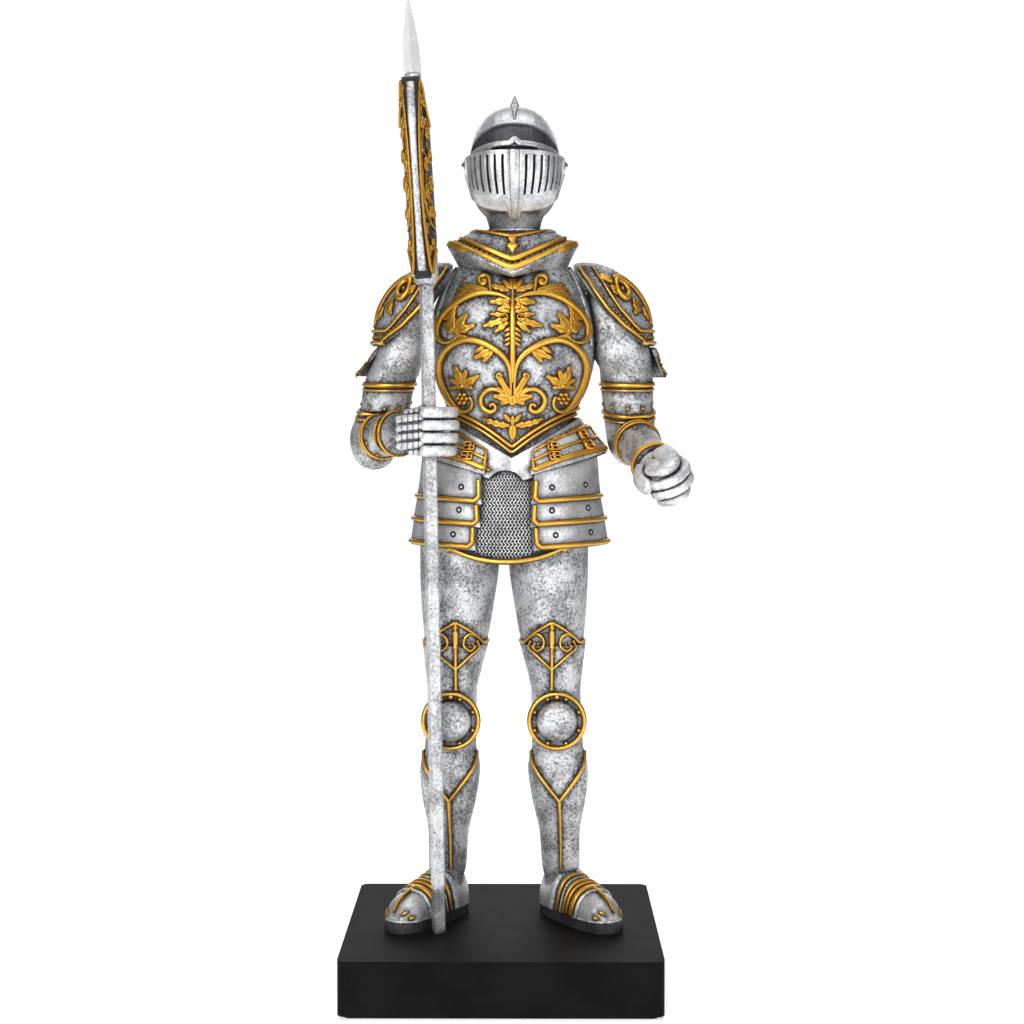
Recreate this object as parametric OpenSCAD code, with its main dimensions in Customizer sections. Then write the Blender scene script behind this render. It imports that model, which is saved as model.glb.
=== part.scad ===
// Standing knight in plate armour with a halberd, cast in pieces and pinned to a plinth.
// Millimetres. Origin: middle of the plinth's underside. +Z up, the knight faces -Y,
// and his left hand is on the +X side.

/* [Plinth] */
// Side of the square plinth
plinth_w = 100; // [92:1:120]
// Height of the plinth without its pad
plinth_h = 17; // [12:0.5:24]
// Radius of the plinth's upright corners
plinth_corner = 3; // [1:0.5:6]
// Thickness of the felt pad
pad_h = 1; // [0.5:0.25:2]

/* [Helmet] */
// Greatest radius of the skull about the visor's pivots
skull_r = 19.0; // [18.6:0.1:19.1]
// Half the width of the skull at the temples
skull_half_w = 14.7; // [14.4:0.1:14.7]
// Radius of the visor's inner face about its pivots
visor_inner_r = 19.4; // [19.3:0.05:19.6]
// Thickness of the visor
visor_t = 1.2; // [1:0.1:1.5]
// Radius of each pivot pin
pivot_r = 0.8; // [0.6:0.05:0.9]
// Gap between a pivot pin and the visor's hole
pivot_gap = 0.05; // [0.03:0.01:0.1]
// Number of sights cut on each side of the visor
sights = 7; // [5:1:8]
// Width of each sight
sight_w = 0.8; // [0.6:0.1:1]

/* [Halberd] */
// Side of the square shaft
shaft_side = 3.9; // [3.4:0.1:4]
// Width of the flats on the shaft's corners
shaft_bevel = 0.9; // [0.6:0.1:1.2]
// Gap between the shaft's corners and the fist's hole
grip_gap = 0.08; // [0.05:0.01:0.15]
// Length of the shaft with its ferrule
shaft_l = 215; // [205:1:220]
// Height of the axe blade
axe_h = 62; // [54:1:64]
// Length of the top spike
spike_l = 24; // [18:1:30]

/* [Fixing] */
// Radius of the screws that hold the feet
screw_r = 1.5; // [1.2:0.1:1.8]
// Length of those screws
screw_l = 28; // [24:1:30]

/* [Hidden] */

// Colours
SILVER = "silver";
GOLD = "goldenrod";
DARK = "dimgray";
BLACK = "black";

// Heights that the pieces share
top_z = plinth_h + pad_h;         // where the feet stand
sole_t = 3.2;                     // thickness of a sole
floor_z = top_z + sole_t;         // where a shoe's upper starts
leg_mid = 0.5;                    // the line halfway between the legs
round_n = 48;                     // facets that OpenSCAD draws on round parts

// ---------------------------------------------------------------- sections and skins
// A station is [z, centre x, centre y, half width, depth to the front, depth to the back, drop].
// The drop lowers the front middle of the section, so that its edge is a V.
function station(z, cx, cy, rx, rf, rb, drop = 0) = [z, cx, cy, rx, rf, rb, drop];

function point_on(s, a, t = 0) = [
    s[1] + (s[3] + t) * cos(a),
    s[2] + (sin(a) < 0 ? s[4] + t : s[5] + t) * sin(a),
    s[0] - (sin(a) < 0 ? s[6] * (1 - abs(cos(a))) : 0)];

function ring(s, n) = [for (i = [0 : n - 1]) point_on(s, 360 * i / n)];
function hub(s) = [s[1], s[2], s[0] - s[6] / 2];

// One more station halfway between each two, on a smooth curve through all of them.
function refine(st) = [for (i = [0 : 2 * (len(st) - 1)])
    i % 2 == 0 ? st[i / 2] : let (
        k = floor(i / 2), p = st[k], q = st[k + 1],
        before = st[max(k - 1, 0)], after = st[min(k + 2, len(st) - 1)])
        (9 * (p + q) - before - after) / 16];

// Faces between closed rings of n points, m rings in all.
function side_faces(n, m) = [for (j = [0 : m - 2], i = [0 : n - 1])
    let (k = (i + 1) % n) each [
        [j * n + i, (j + 1) * n + i, j * n + k],
        [(j + 1) * n + i, (j + 1) * n + k, j * n + k]]];

// Skin over closed rings, with a fan of faces at each end.
module skin(rings, low, high) {
    n = len(rings[0]);
    m = len(rings);
    ends = [for (i = [0 : n - 1]) let (k = (i + 1) % n) each [
        [n * m, i, k],
        [n * m + 1, (m - 1) * n + k, (m - 1) * n + i]]];
    polyhedron(concat([for (r = rings) each r], [low, high]), concat(side_faces(n, m), ends));
}

// Thin wall over rings that run out along one face and back along the other.
module wall(rings) {
    n = len(rings[0]);
    m = len(rings);
    last = (m - 1) * n;
    ends = [for (i = [0 : n / 2 - 2]) each [
        [i, i + 1, n - 2 - i], [i, n - 2 - i, n - 1 - i],
        [last + i + 1, last + i, last + n - 2 - i], [last + n - 2 - i, last + i, last + n - 1 - i]]];
    polyhedron([for (r = rings) each r], concat(side_faces(n, m), ends));
}

// Solid body through stations that run upwards.
module loft(st, n = 28) skin([for (s = st) ring(s, n)], hub(st[0]), hub(st[len(st) - 1]));

// Curved plate that lies on the stations, from angle a[0] to a[1] at each of them,
// between t0 and t1 outside their surface.
module plate(st, angles, t0, t1, n = 14)
    wall([for (j = [0 : len(st) - 1]) let (a = angles[j]) concat(
        [for (i = [0 : n]) point_on(st[j], a[0] + (a[1] - a[0]) * i / n, t1)],
        [for (i = [n : -1 : 0]) point_on(st[j], a[0] + (a[1] - a[0]) * i / n, t0)])]);

// Turns +Z to run from a to b.
module along(a, b) {
    d = b - a;
    translate(a) rotate([0, acos(d[2] / norm(d)), atan2(d[1], d[0])]) children();
}

// The same piece on the other side of the line x = m.
module other_side(m) translate([2 * m, 0, 0]) mirror([1, 0, 0]) children();

// ---------------------------------------------------------------- plinth
module rounded_block(w, h, r) {
    cube_w = w - 2 * r;
    translate([-w / 2 + r, -w / 2, 0]) cube([cube_w, w, h]);
    translate([-w / 2, -w / 2 + r, 0]) cube([w, cube_w, h]);
    for (sx = [-1, 1], sy = [-1, 1])
        translate([sx * cube_w / 2, sy * cube_w / 2, 0]) cylinder(h = h, r = r, $fn = round_n);
}

ankle = [18.9, 8];                // middle of the left ankle, from leg_mid
screw_head_r = 2.9;
screw_head_h = 2.2;
screw_places = [for (s = [-1, 1]) [leg_mid + s * ankle[0], ankle[1]]];

module screw(extra_r = 0) {
    translate([0, 0, pad_h]) cylinder(h = screw_head_h, r = screw_head_r + extra_r, $fn = round_n);
    translate([0, 0, pad_h]) cylinder(h = screw_l, r = screw_r + extra_r, $fn = round_n);
}

module plinth() color(BLACK) difference() {
    translate([0, 0, pad_h]) rounded_block(plinth_w, plinth_h, plinth_corner);
    for (p = screw_places) translate([p[0], p[1], 0]) {
        cylinder(h = 3 * plinth_h, r = screw_r + 0.1, $fn = round_n);
        cylinder(h = pad_h + screw_head_h + 0.3, r = screw_head_r + 0.2, $fn = round_n);
    }
}

module felt_pad() color(DARK) rounded_block(plinth_w - 4, pad_h, plinth_corner - 1);

module fixing_screws() color(SILVER)
    for (p = screw_places) translate([p[0], p[1], 0]) screw();

// ---------------------------------------------------------------- feet
splay = 34;                       // how far each foot turns out
heel_back = 8.2;                  // heel behind the ankle
toe_front = 30.2;                 // toe ahead of the ankle

// Puts a foot's own frame (forward is -Y) under the left ankle.
module foot_frame() translate([leg_mid + ankle[0], ankle[1], 0]) rotate([0, 0, splay]) children();

// A foot station is [distance ahead of the ankle, half width, height].
foot = [[-7.6, 3.2, 7.5], [-6.4, 4.7, 10], [-3, 5.7, 11.6], [2, 6.2, 12.2], [6.5, 6.4, 12], [11, 6.6, 10.8],
    [15.5, 6.9, 9.3], [20, 6.8, 8.4], [24, 6.2, 7.1], [27, 4.8, 5], [28.8, 2.7, 2.4]];
foot_steps = 14;
function foot_ring(s) = [for (i = [0 : foot_steps]) let (a = 180 * i / foot_steps)
    [s[1] * sign(cos(a)) * pow(abs(cos(a)), 0.8), -s[0], floor_z + s[2] * pow(sin(a), 0.7)]];

module sole_outline(grow = 0) hull() {
    translate([0, heel_back - 5.8]) circle(r = 5.8 + grow, $fn = 32);
    translate([0.2, -toe_front + 12.5]) circle(r = 7.7 + grow, $fn = 32);
    translate([0, -toe_front + 6]) circle(r = 6 + grow, $fn = 32);
}

module left_sole() color(DARK) difference() {
    foot_frame() translate([0, 0, top_z]) linear_extrude(sole_t) sole_outline();
    translate([screw_places[1][0], screw_places[1][1], 0]) cylinder(h = 60, r = screw_r, $fn = round_n);
}

module left_sabaton() color(SILVER) difference() {
    foot_frame() skin([for (s = foot) foot_ring(s)], [0, -foot[0][0], floor_z + 1],
        [0, -foot[len(foot) - 1][0], floor_z + 1]);
    loft(ankle_column, 28);
}

// ---------------------------------------------------------------- legs
function leg(z, off, cy, rx, rf, rb) = station(z, leg_mid + off, cy, rx, rf, rb);
ankle_column = [leg(floor_z - 1, 18.9, 8, 5.2, 5.6, 5.6), leg(31, 18.9, 8, 5.2, 5.6, 5.6),
    leg(33, 18.85, 8, 6.3, 6.7, 6.7), leg(40, 18.6, 7.8, 6.5, 7, 7.2)];
greave_low = [leg(floor_z, 18.9, 8, 5.2, 5.6, 5.6), leg(31, 18.9, 8, 5.2, 5.6, 5.6)];
greave_high = [leg(33, 18.85, 8, 6.3, 6.7, 6.7), leg(41, 18.5, 7.5, 6.5, 7, 7.5),
    leg(47.5, 18.3, 7, 6.9, 7.5, 8.5), leg(55, 18.1, 6.5, 8.6, 8.6, 10.4), leg(63, 17.9, 6, 9.8, 9.4, 11.5),
    leg(69, 17.7, 5.5, 9.9, 9.4, 10.6), leg(74, 17.6, 5, 8.6, 8.5, 9)];
knee = [leg(74, 17.6, 5, 8.6, 8.5, 9), leg(80, 17.4, 4.4, 8.3, 8.4, 8.6), leg(88, 17.1, 3.8, 8.2, 8.6, 8.6),
    leg(94, 17, 3.5, 8.2, 8.9, 9)];
lower_thigh = [leg(94, 17, 3.5, 8.2, 8.9, 9), leg(101, 16.5, 3.6, 9.4, 10.2, 10.4),
    leg(109, 15.9, 4, 10.9, 11.8, 12)];
upper_thigh = [leg(109, 15.8, 4, 10.2, 11, 11.4), leg(115, 15.5, 4.2, 11.1, 12, 12.4),
    leg(122, 15.2, 4.5, 12, 12.9, 13.2), leg(131, 14.7, 5, 12.9, 13.5, 13.8), leg(136, 14.5, 5, 13.2, 13.7, 14)];

knee_disc = [leg_mid + 17.2, -3.6, 84.4];   // middle of the knee's round plate
knee_disc_r = 9.7;
knee_dome_r = 6.9;

module left_greave() color(SILVER) difference() {
    loft(concat(greave_low, refine(greave_high)));
    translate([screw_places[1][0], screw_places[1][1], 0]) cylinder(h = pad_h + screw_l + 0.5, r = screw_r, $fn = round_n);
}

module left_poleyn() color(SILVER) {
    loft(refine(knee));
    translate(knee_disc) rotate([90, 0, 0]) rotate_extrude($fn = 40)
        polygon([[0, -3], [7.6, -3], [knee_disc_r, 0.2], [knee_disc_r, 1.4], [knee_disc_r - 1.2, 2], [knee_dome_r, 1.7],
            [6.2, 3.6], [4.8, 4.8], [2.6, 5.5], [0, 5.7]]);
}

module left_lower_cuisse() color(SILVER) loft(refine(lower_thigh));
module left_cuisse() color(SILVER) loft(refine(upper_thigh));

module right_sole() color(DARK) other_side(leg_mid) left_sole();
module right_sabaton() color(SILVER) other_side(leg_mid) left_sabaton();
module right_greave() color(SILVER) other_side(leg_mid) left_greave();
module right_poleyn() color(SILVER) other_side(leg_mid) left_poleyn();
module right_lower_cuisse() color(SILVER) other_side(leg_mid) left_lower_cuisse();
module right_cuisse() color(SILVER) other_side(leg_mid) left_cuisse();

// ---------------------------------------------------------------- hips and skirt
hip_x = 1.5;
waist = station(183, 3.2, 4.6, 20.2, 14.8, 12.8, 13);
hips = [station(136, hip_x, 4, 29.2, 18.6, 18.4), station(146, hip_x, 4, 29, 18.6, 18.2),
    station(157, hip_x + 0.4, 4, 26.6, 17.6, 17), station(167, hip_x + 1, 4.2, 24.2, 16.4, 15.4, 3),
    station(175, 3, 4.5, 21.4, 15.3, 13.6, 9), waist];

hip_rings = refine(hips);
module hip_core() color(DARK) loft(hip_rings, 36);

// The mail lies on the hips from the hem up to the arch under the fauld.
mail_sides = [-150, -30];
mail_rings = 7;
module mail_skirt() color(DARK)
    plate([for (i = [0 : mail_rings - 1]) hip_rings[i]], [for (i = [1 : mail_rings]) mail_sides], 0.06, 0.9, 22);

// The fauld is a flared band under the breastplate, cut in an arch over the mail.
fauld_top = station(182.6, 3.2, 4.6, 20.3, 14.9, 12.9, 12.8);
fauld_rim = station(171.2, 2.4, 4, 29.6, 17.4, 17, 9.6);
fauld_stations = [fauld_rim, station(176, 2.8, 4.3, 24.6, 16.2, 14.8, 11), fauld_top];
fauld_lift = [1.0, 2.1];
arch_r = 6.8;
module fauld() color(SILVER) difference() {
    plate(fauld_stations, [for (s = fauld_stations) [-269.5, 89.5]], fauld_lift[0], fauld_lift[1], 44);
    translate([hip_x - 0.4, 10, 159.4]) rotate([90, 0, 0]) linear_extrude(60)
        polygon([for (i = [0 : 15]) arch_r * [cos(22.5 * i), sin(22.5 * i)]]);
}

// Tassets: three lames a side, each a little outside the one below.
tasset_front = [-72, -72, -70, -68];      // angle of the front edge, from the hem upwards
tasset_back = 88;
tasset_levels = [station(141.6, 2.3, 4, 31, 19.8, 19.4, 1.4), station(149, 2.2, 4, 29.9, 19.4, 18.9, 1.4),
    station(156.4, 2.1, 4, 28.5, 18.9, 18.2, 1.6), station(165.6, 2.4, 4.2, 26.8, 17.9, 16.9, 4)];
tasset_t = 1.1;
tasset_step = 0.35;
tasset_gap = 0.4;
function opposite(a) = [-180 - a[1], -180 - a[0]];
module tasset(k, right = false) {
    st = [tasset_levels[k], tasset_levels[k + 1]];
    a = [[tasset_front[k], tasset_back], [tasset_front[k + 1], tasset_back]];
    t = tasset_gap + tasset_step * k / 2;
    plate(st, right ? [opposite(a[0]), opposite(a[1])] : a, t, t + tasset_t, 20);
}
module left_tasset_lower() color(SILVER) tasset(0);
module left_tasset_middle() color(SILVER) tasset(1);
module left_tasset_upper() color(SILVER) tasset(2);
module right_tasset_lower() color(SILVER) tasset(0, true);
module right_tasset_middle() color(SILVER) tasset(1, true);
module right_tasset_upper() color(SILVER) tasset(2, true);

// Belts: a strap lattice on each side of the fauld, with two buckles each.
belt_levels = [station(171.9, 2.5, 4, 29, 17.3, 16.8, 9.8), station(176, 2.8, 4.3, 24.8, 16.3, 14.9, 11.2),
    station(180.6, 3.1, 4.5, 21.5, 15.3, 13.4, 12.3)];
belt_lift = [2.15, 3.0];
belt_span = [[-74, 6], [-72, 6], [-70, 4]];
module left_belt() color(GOLD) plate(belt_levels, belt_span, belt_lift[0], belt_lift[1], 16);
module right_belt() color(GOLD) plate(belt_levels, [for (a = belt_span) opposite(a)], belt_lift[0], belt_lift[1], 16);

buckle_angles = [-52, -22];
buckle_size = [3.4, 1.4, 5];
module buckle(a) {
    p = point_on(belt_levels[1], a, belt_lift[1] + buckle_size[1] / 2 + 0.45);
    translate(p) rotate([0, 0, atan2(p[1] - belt_levels[1][2], p[0] - belt_levels[1][1]) + 90])
        rotate([-42, 0, 0]) cube(buckle_size, center = true);
}
module belt_buckles() color(GOLD)
    for (a = buckle_angles) { buckle(a); buckle(-180 - a); }

// ---------------------------------------------------------------- cuirass and gorget
chest_x = 3.5;
neck_seat = station(232, chest_x, 4.6, 18, 12.4, 12.6, 5);
chest = [waist, station(187, 3.3, 4.7, 21.9, 16.2, 13.6, 10), station(194, 3.4, 4.8, 25, 18, 14.8, 6),
    station(203, chest_x, 5, 26.9, 19.6, 16.2, 3), station(211, chest_x, 5, 27.1, 19.8, 17, 2),
    station(219, chest_x, 5, 25.6, 18.4, 16.6, 2), station(226, chest_x, 4.8, 22.4, 15.8, 15, 3), neck_seat];
parting_y = 5.2;                  // plane between breastplate and backplate

module half_space(front) translate([-100, front ? parting_y - 100 : parting_y, 100]) cube([200, 100, 200]);
module breastplate() color(SILVER) intersection() { loft(refine(chest), 40); half_space(true); }
module backplate() color(SILVER) intersection() { loft(refine(chest), 40); half_space(false); }

collar_ring = station(241, 3.4, 4.4, 17.5, 12.8, 12.4, 8);
gorget_rings = [neck_seat, station(236.4, 3.3, 4.4, 20.2, 14.8, 14, 8.6), station(238.2, 3.3, 4.4, 21.3, 16, 14.8, 9.6),
    station(239.6, 3.3, 4.4, 21, 15.8, 14.6, 9.4), collar_ring];
collar_rings = [collar_ring, station(243.4, 3.5, 4.3, 13.2, 9.8, 9.8, 2.6), station(243.5, 3.6, 4.2, 12.2, 9, 9, 2.2),
    station(242, 3.8, 4.1, 9.2, 8.6, 8.6, 0)];
module gorget_plate() color(SILVER) loft(gorget_rings, 36);
module gorget_collar() color(SILVER) loft(collar_rings, 36);

// ---------------------------------------------------------------- arms
// Each arm hangs from its shoulder; the elbow bends forwards to the hand.
left_arm = [station(186.5, 41.2, 7.6, 8.3, 8.6, 8.6), station(190, 41, 7.5, 8.5, 8.8, 8.8),
    station(197, 40.6, 7, 8.7, 9, 9), station(204, 40, 6.5, 8.7, 9.1, 9.1), station(212, 38.8, 6, 8.2, 8.8, 8.8),
    station(219, 37, 6, 7.4, 8, 8), station(224, 36, 6, 5.6, 6.4, 6.4)];
right_arm = [station(186.5, -38.6, 8.8, 8, 8.4, 8.4), station(190, -38, 8.4, 8.3, 8.7, 8.7),
    station(197, -36.2, 7.7, 8.4, 8.9, 8.9), station(204, -33.4, 7, 7.9, 8.8, 8.8), station(212, -31.6, 6.4, 7.9, 8.8, 8.8),
    station(219, -30.2, 6, 7.4, 8, 8), station(224, -29, 6, 5.6, 6.4, 6.4)];

left_elbow = [42, 8.4, 177.5];
left_wrist = [47.8, -15.6, 168.6];
left_fist = [51.8, -31, 163];
right_elbow = [-42.6, 10.4, 176];
right_wrist = [-34.6, -8.8, 177.6];
right_fist = [-22, -25.4, 178.6];

function elbow_rings(top, e) = [station(e[2] - 10.6, e[0] + 0.3, e[1] - 1, 2.4, 2.6, 2.6),
    station(e[2] - 8.6, e[0] + 0.2, e[1] - 0.8, 5.6, 6, 6), station(e[2] - 4.5, e[0], e[1], 7.6, 8.4, 8.4),
    station(e[2] + 1, e[0], e[1], 8.2, 9, 9), station(e[2] + 5.4, (e[0] + top[1]) / 2, (e[1] + top[2]) / 2, 8.4, 8.9, 8.9),
    top];
elbow_cut = 6;                    // where the forearm starts, from the elbow's middle

module beyond(a, b, d) along(a, b) translate([-40, -40, d]) cube([80, 80, 80]);
module couter(top, e, w) difference() { loft(elbow_rings(top, e), 24); beyond(e, w, elbow_cut); }

// Forearm, cuff and hand stand on the line from elbow to fist, in its own frame.
function limb(z, r, flat = 1) = station(z, 0, 0, r * flat, r, r);
module vambrace(e, w) along(e, w)
    loft(refine([limb(elbow_cut, 7.4), limb(12, 6.9), limb(norm(w - e), 5.9)]), 24);
module cuff(e, w, f) intersection() {
    along(w, f) loft([limb(-3, 6), limb(2.4, 6.9), limb(3.4, 6.8), limb(3.6, 5.8)], 24);
    beyond(e, w, norm(w - e) + 0.02);
}

module left_pauldron() color(SILVER) pauldron(left_shoulder);
module right_pauldron() color(SILVER) other_side(chest_x) pauldron(left_shoulder);
// A shoulder is an ellipsoid's upper outer part: [centre x, y, z, half width, half depth, half height].
left_shoulder = [27, 6, 206, 21.4, 15.2, 27.3];
pauldron_t = 1.2;
pauldron_heights = [0, 3, 6, 11, 16, 20, 23.6, 26, 27.2];
pauldron_edge = [28, 46, 60, 74, 84, 92, 104, 122, 150];   // half the angle that it covers at each height
function dome(s, h) = let (k = sqrt(max(0, 1 - pow(h / s[5], 2)))) station(s[2] + h, s[0], s[1], s[3] * k, s[4] * k, s[4] * k);
module pauldron(s) plate([for (h = pauldron_heights) dome(s, h)], [for (a = pauldron_edge) [-a, a]], 0, pauldron_t, 22);

// A flared lame under each pauldron, round the outside and back of the arm.
function wing(arm, side) = [
    [for (p = [[194.8, 3.6], [199, 2.2], [204.6, 0.6]]) let (s = arm[2] + (arm[3] - arm[2]) * (p[0] - 197) / 7)
        station(p[0], s[1], s[2], s[3] + p[1], s[4] + p[1], s[5] + p[1])],
    side > 0 ? [[-12, 120], [-16, 122], [-20, 124]] : [[60, 192], [58, 196], [56, 200]]];
module left_pauldron_wing() color(SILVER) plate(wing(left_arm, 1)[0], wing(left_arm, 1)[1], 0.1, 1.1, 16);
module right_pauldron_wing() color(SILVER) plate(wing(right_arm, -1)[0], wing(right_arm, -1)[1], 0.1, 1.1, 16);

module left_rerebrace() color(SILVER) loft(refine(left_arm), 28);
module right_rerebrace() color(SILVER) loft(refine(right_arm), 28);
module left_couter() color(SILVER) couter(left_arm[0], left_elbow, left_wrist);
module right_couter() color(SILVER) couter(right_arm[0], right_elbow, right_wrist);
module left_vambrace() color(SILVER) vambrace(left_elbow, left_wrist);
module right_vambrace() color(SILVER) vambrace(right_elbow, right_wrist);
module left_cuff() color(GOLD) cuff(left_elbow, left_wrist, left_fist);
module right_cuff() color(GOLD) cuff(right_elbow, right_wrist, right_fist);

fist_start = 3.7;
module left_gauntlet() color(SILVER) along(left_wrist, left_fist)
    loft(refine([limb(fist_start, 5.6), limb(6.4, 6.8, 0.95), limb(10.5, 8.2, 0.95), limb(16, 8.1, 0.92),
        limb(20, 6.6, 0.9), limb(21.6, 3.6, 0.9)]), 24);

// ---------------------------------------------------------------- halberd
butt = [-20.1, -16, top_z + 0.1];
grip = [-23.0, -17, 178.6];
shaft_dir = (grip - butt) / norm(grip - butt);
shaft_turn = 24;                  // how far the square shaft is turned about its own line
grip_hole_r = norm([shaft_side / 2, shaft_side / 2 - shaft_bevel / sqrt(2)]) + grip_gap;
ferrule_l = 14;
socket_from = shaft_l - 8;        // start of the socket, measured from the butt
head_lean = 2.6;                  // the cast head leans over a little to the right hand's side

module halberd_frame() along(butt, grip) rotate([0, 0, -atan2(shaft_dir[1], shaft_dir[0])]) children();
module bevelled_square(side, bevel) {
    b = bevel / sqrt(2);
    h = side / 2;
    polygon([[h, -h + b], [h, h - b], [h - b, h], [-h + b, h], [-h, h - b], [-h, -h + b], [-h + b, -h], [h - b, -h]]);
}
// The hand grips round the shaft; the back of the hand faces forwards.
hand_box = [19.6, 15.6, 16.2];
module hand_solid() translate([-24.2, -19.2, 178.6]) rotate([0, 0, -6]) {
    w = hand_box[0] / 2;
    rings = [for (s = [[-w, 4.4, 5], [-w + 1.6, 6.2, 6.6], [-w + 5, 7.4, 7.8], [0, 7.8, 8.1], [w - 4, 7.7, 8], [w - 1.4, 6.9, 7.4], [w, 5.4, 6.4]])
        [for (i = [0 : 23]) let (a = -360 * i / 24, c = cos(a), d = sin(a))
            [s[0], s[1] * sign(c) * pow(abs(c), 0.7), s[2] * sign(d) * pow(abs(d), 0.7)]]];
    skin(rings, [-w, 0, 0], [w, 0, 0]);
}
module right_gauntlet() color(SILVER) difference() {
    hand_solid();
    along(butt, grip) cylinder(h = 200, r = grip_hole_r, $fn = round_n);
    along(right_wrist, right_fist) translate([0, 0, -20]) cylinder(h = 20 + fist_start, r = 14, $fn = round_n);
}

module shaft_bar(from, to, side, bevel) translate([0, 0, from]) rotate([0, 0, shaft_turn])
    linear_extrude(to - from) bevelled_square(side, bevel);

module halberd_shaft() color(SILVER) halberd_frame()
    shaft_bar(ferrule_l, shaft_l, shaft_side, shaft_bevel);
module butt_ferrule() color(DARK) halberd_frame()
    shaft_bar(0, ferrule_l, shaft_side, shaft_bevel);

// The head's own frame: origin on the shaft's line at the socket, blade towards -Y.
module head_frame() halberd_frame() translate([0, 0, socket_from]) rotate([0, -head_lean, 0]) children();
socket_r = 4.2;
socket_h = axe_h + 4;
module halberd_socket() color(SILVER) difference() {
    head_frame() {
        cylinder(h = 3.2, r1 = 3.3, r2 = socket_r, $fn = round_n);
        translate([0, 0, 3.2]) cylinder(h = socket_h - 3.2, r1 = socket_r, r2 = 2.6, $fn = round_n);
    }
    halberd_frame() shaft_bar(ferrule_l, shaft_l, shaft_side, shaft_bevel);
}

// Side view of the axe blade, as [distance ahead of the shaft, height].
axe_back = 3.4;
axe_outline = [[axe_back, 20], [9, 17], [15, 12], [19, 7], [22, 7.5], [25.4, 14], [27.4, 22], [28.4, 31], [28.2, 41],
    [26.6, 51], [24, 60], [20.4, 68], [17.6, 69], [14, 62], [9, 57], [axe_back, 54]];
axe_scale = axe_h / 62;
axe_low = 0.8;                    // lowest point of the blade in the head's frame
axe_t = 8.8;
module axe_blade() color(GOLD) difference() {
    head_frame() intersection() {
        rotate([90, 0, -90]) linear_extrude(axe_t, center = true)
            polygon([for (p = axe_outline) [p[0], axe_low + (p[1] - 7) * axe_scale]]);
        linear_extrude(80) polygon([[-axe_t / 2, 0], [axe_t / 2, 0], [axe_t / 2, -8], [0.8, -29], [-0.8, -29], [-axe_t / 2, -8]]);
    }
    halberd_socket_core();
}
module halberd_socket_core() head_frame() {
    cylinder(h = 3.2, r1 = 3.3, r2 = socket_r, $fn = round_n);
    translate([0, 0, 3.2]) cylinder(h = socket_h - 3.2, r1 = socket_r, r2 = 2.6, $fn = round_n);
}
module rear_fluke() color(SILVER) difference() {
    head_frame() translate([0, 2, 36]) rotate([-78, 0, 0]) cylinder(h = 17, r1 = 4, r2 = 0.6, $fn = round_n);
    halberd_socket_core();
}
spike_w = 5.4;                    // half the spike's width, seen from the side
spike_t = 2.9;                    // half its thickness
module top_spike() color(SILVER) head_frame() {
    rings = [for (s = [[0, 0.46, 0.9], [2, 0.8, 1], [6, 1, 0.95], [0.6 * spike_l, 0.62, 0.7], [spike_l, 0.05, 0.12]])
        [for (q = [[1, 0], [0, 1], [-1, 0], [0, -1]]) [q[0] * s[2] * spike_t, q[1] * s[1] * spike_w, socket_h + s[0]]]];
    skin(rings, [0, 0, socket_h], [0, 0, socket_h + spike_l]);
}

// ---------------------------------------------------------------- helmet
// Skull, sight plate, bevor and visor are all turned about the line through the pivots.
helm = [4, 4, 264.6];             // middle of the pivots' line
core_r = 17.0;
core_half_w = 13.4;
sight_r = 18.1;
brow_angle = 40;                  // front edge of the skull, above the horizon
sight_angle = 14;               // lower edge of the sight plate
visor_high = 11;                // top edge of the visor, closed
visor_low = -50;                  // bottom edge
tab_low = -58;                    // end of the visor's chin tab
nape_angle = 226;                 // bottom edge of the skull, behind
profile_steps = 16;

// Half of a rounded shape with its flat side on the turning axis, as a profile.
// A power of 2 gives an ellipse, and a higher one squarer cheeks.
skull_power = 2.3;
visor_power = 2.9;
bevor_power = 2.8;
function half_round(hw, r, p) = [for (i = [0 : profile_steps]) let (a = -90 + 180 * i / profile_steps)
    [r * pow(max(cos(a), 0), 2 / p), hw * sign(sin(a)) * pow(abs(sin(a)), 2 / p)]];
// Turns a profile about the pivots' line, from elevation e0 to e1, measured from the front over the top.
module lune(e0, e1) translate(helm) rotate([0, -90, 0]) rotate([0, 0, e0 - 90]) rotate_extrude(angle = e1 - e0, $fn = 64) children();
module around_core(hw, r, p) difference() {
    polygon(half_round(hw, r, p));
    polygon(half_round(core_half_w + 0.02, core_r + 0.02, 2));
}
module pivot_hole(r) translate(helm) rotate([0, 90, 0]) cylinder(h = 50, r = r, center = true, $fn = round_n);

module head_core() color(BLACK) {
    lune(0, 360) polygon(half_round(core_half_w, core_r, 2));
}
module helmet_skull() color(SILVER) difference() {
    lune(brow_angle, nape_angle) around_core(skull_half_w, skull_r, skull_power);
    pivot_hole(pivot_r);
}
module sight_plate() color(DARK) difference() {
    lune(sight_angle, brow_angle) around_core(skull_half_w - 0.5, sight_r, skull_power);
    pivot_hole(pivot_r);
}
neck_r = 8.3;
module bevor() color(SILVER) difference() {
    union() {
        lune(nape_angle - 360, -12) around_core(skull_half_w - 0.05, skull_r - 0.3, bevor_power);
        translate([helm[0], helm[1], 0]) rotate_extrude($fn = round_n)
            polygon([[0, 242], [neck_r, 242], [neck_r, 244.2], [8.7, 246], [9.4, 248], [10.6, 251], [12, 254], [12.4, 257], [0, 257]]);
    }
    lune(0, 360) polygon(half_round(core_half_w + 0.02, core_r + 0.02, 2));
    lune(brow_angle, nape_angle) polygon(half_round(skull_half_w, skull_r, skull_power));
    pivot_hole(pivot_r);
}
comb_front = 80;
comb_back = 205;
comb_t = 1.3;
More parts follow.
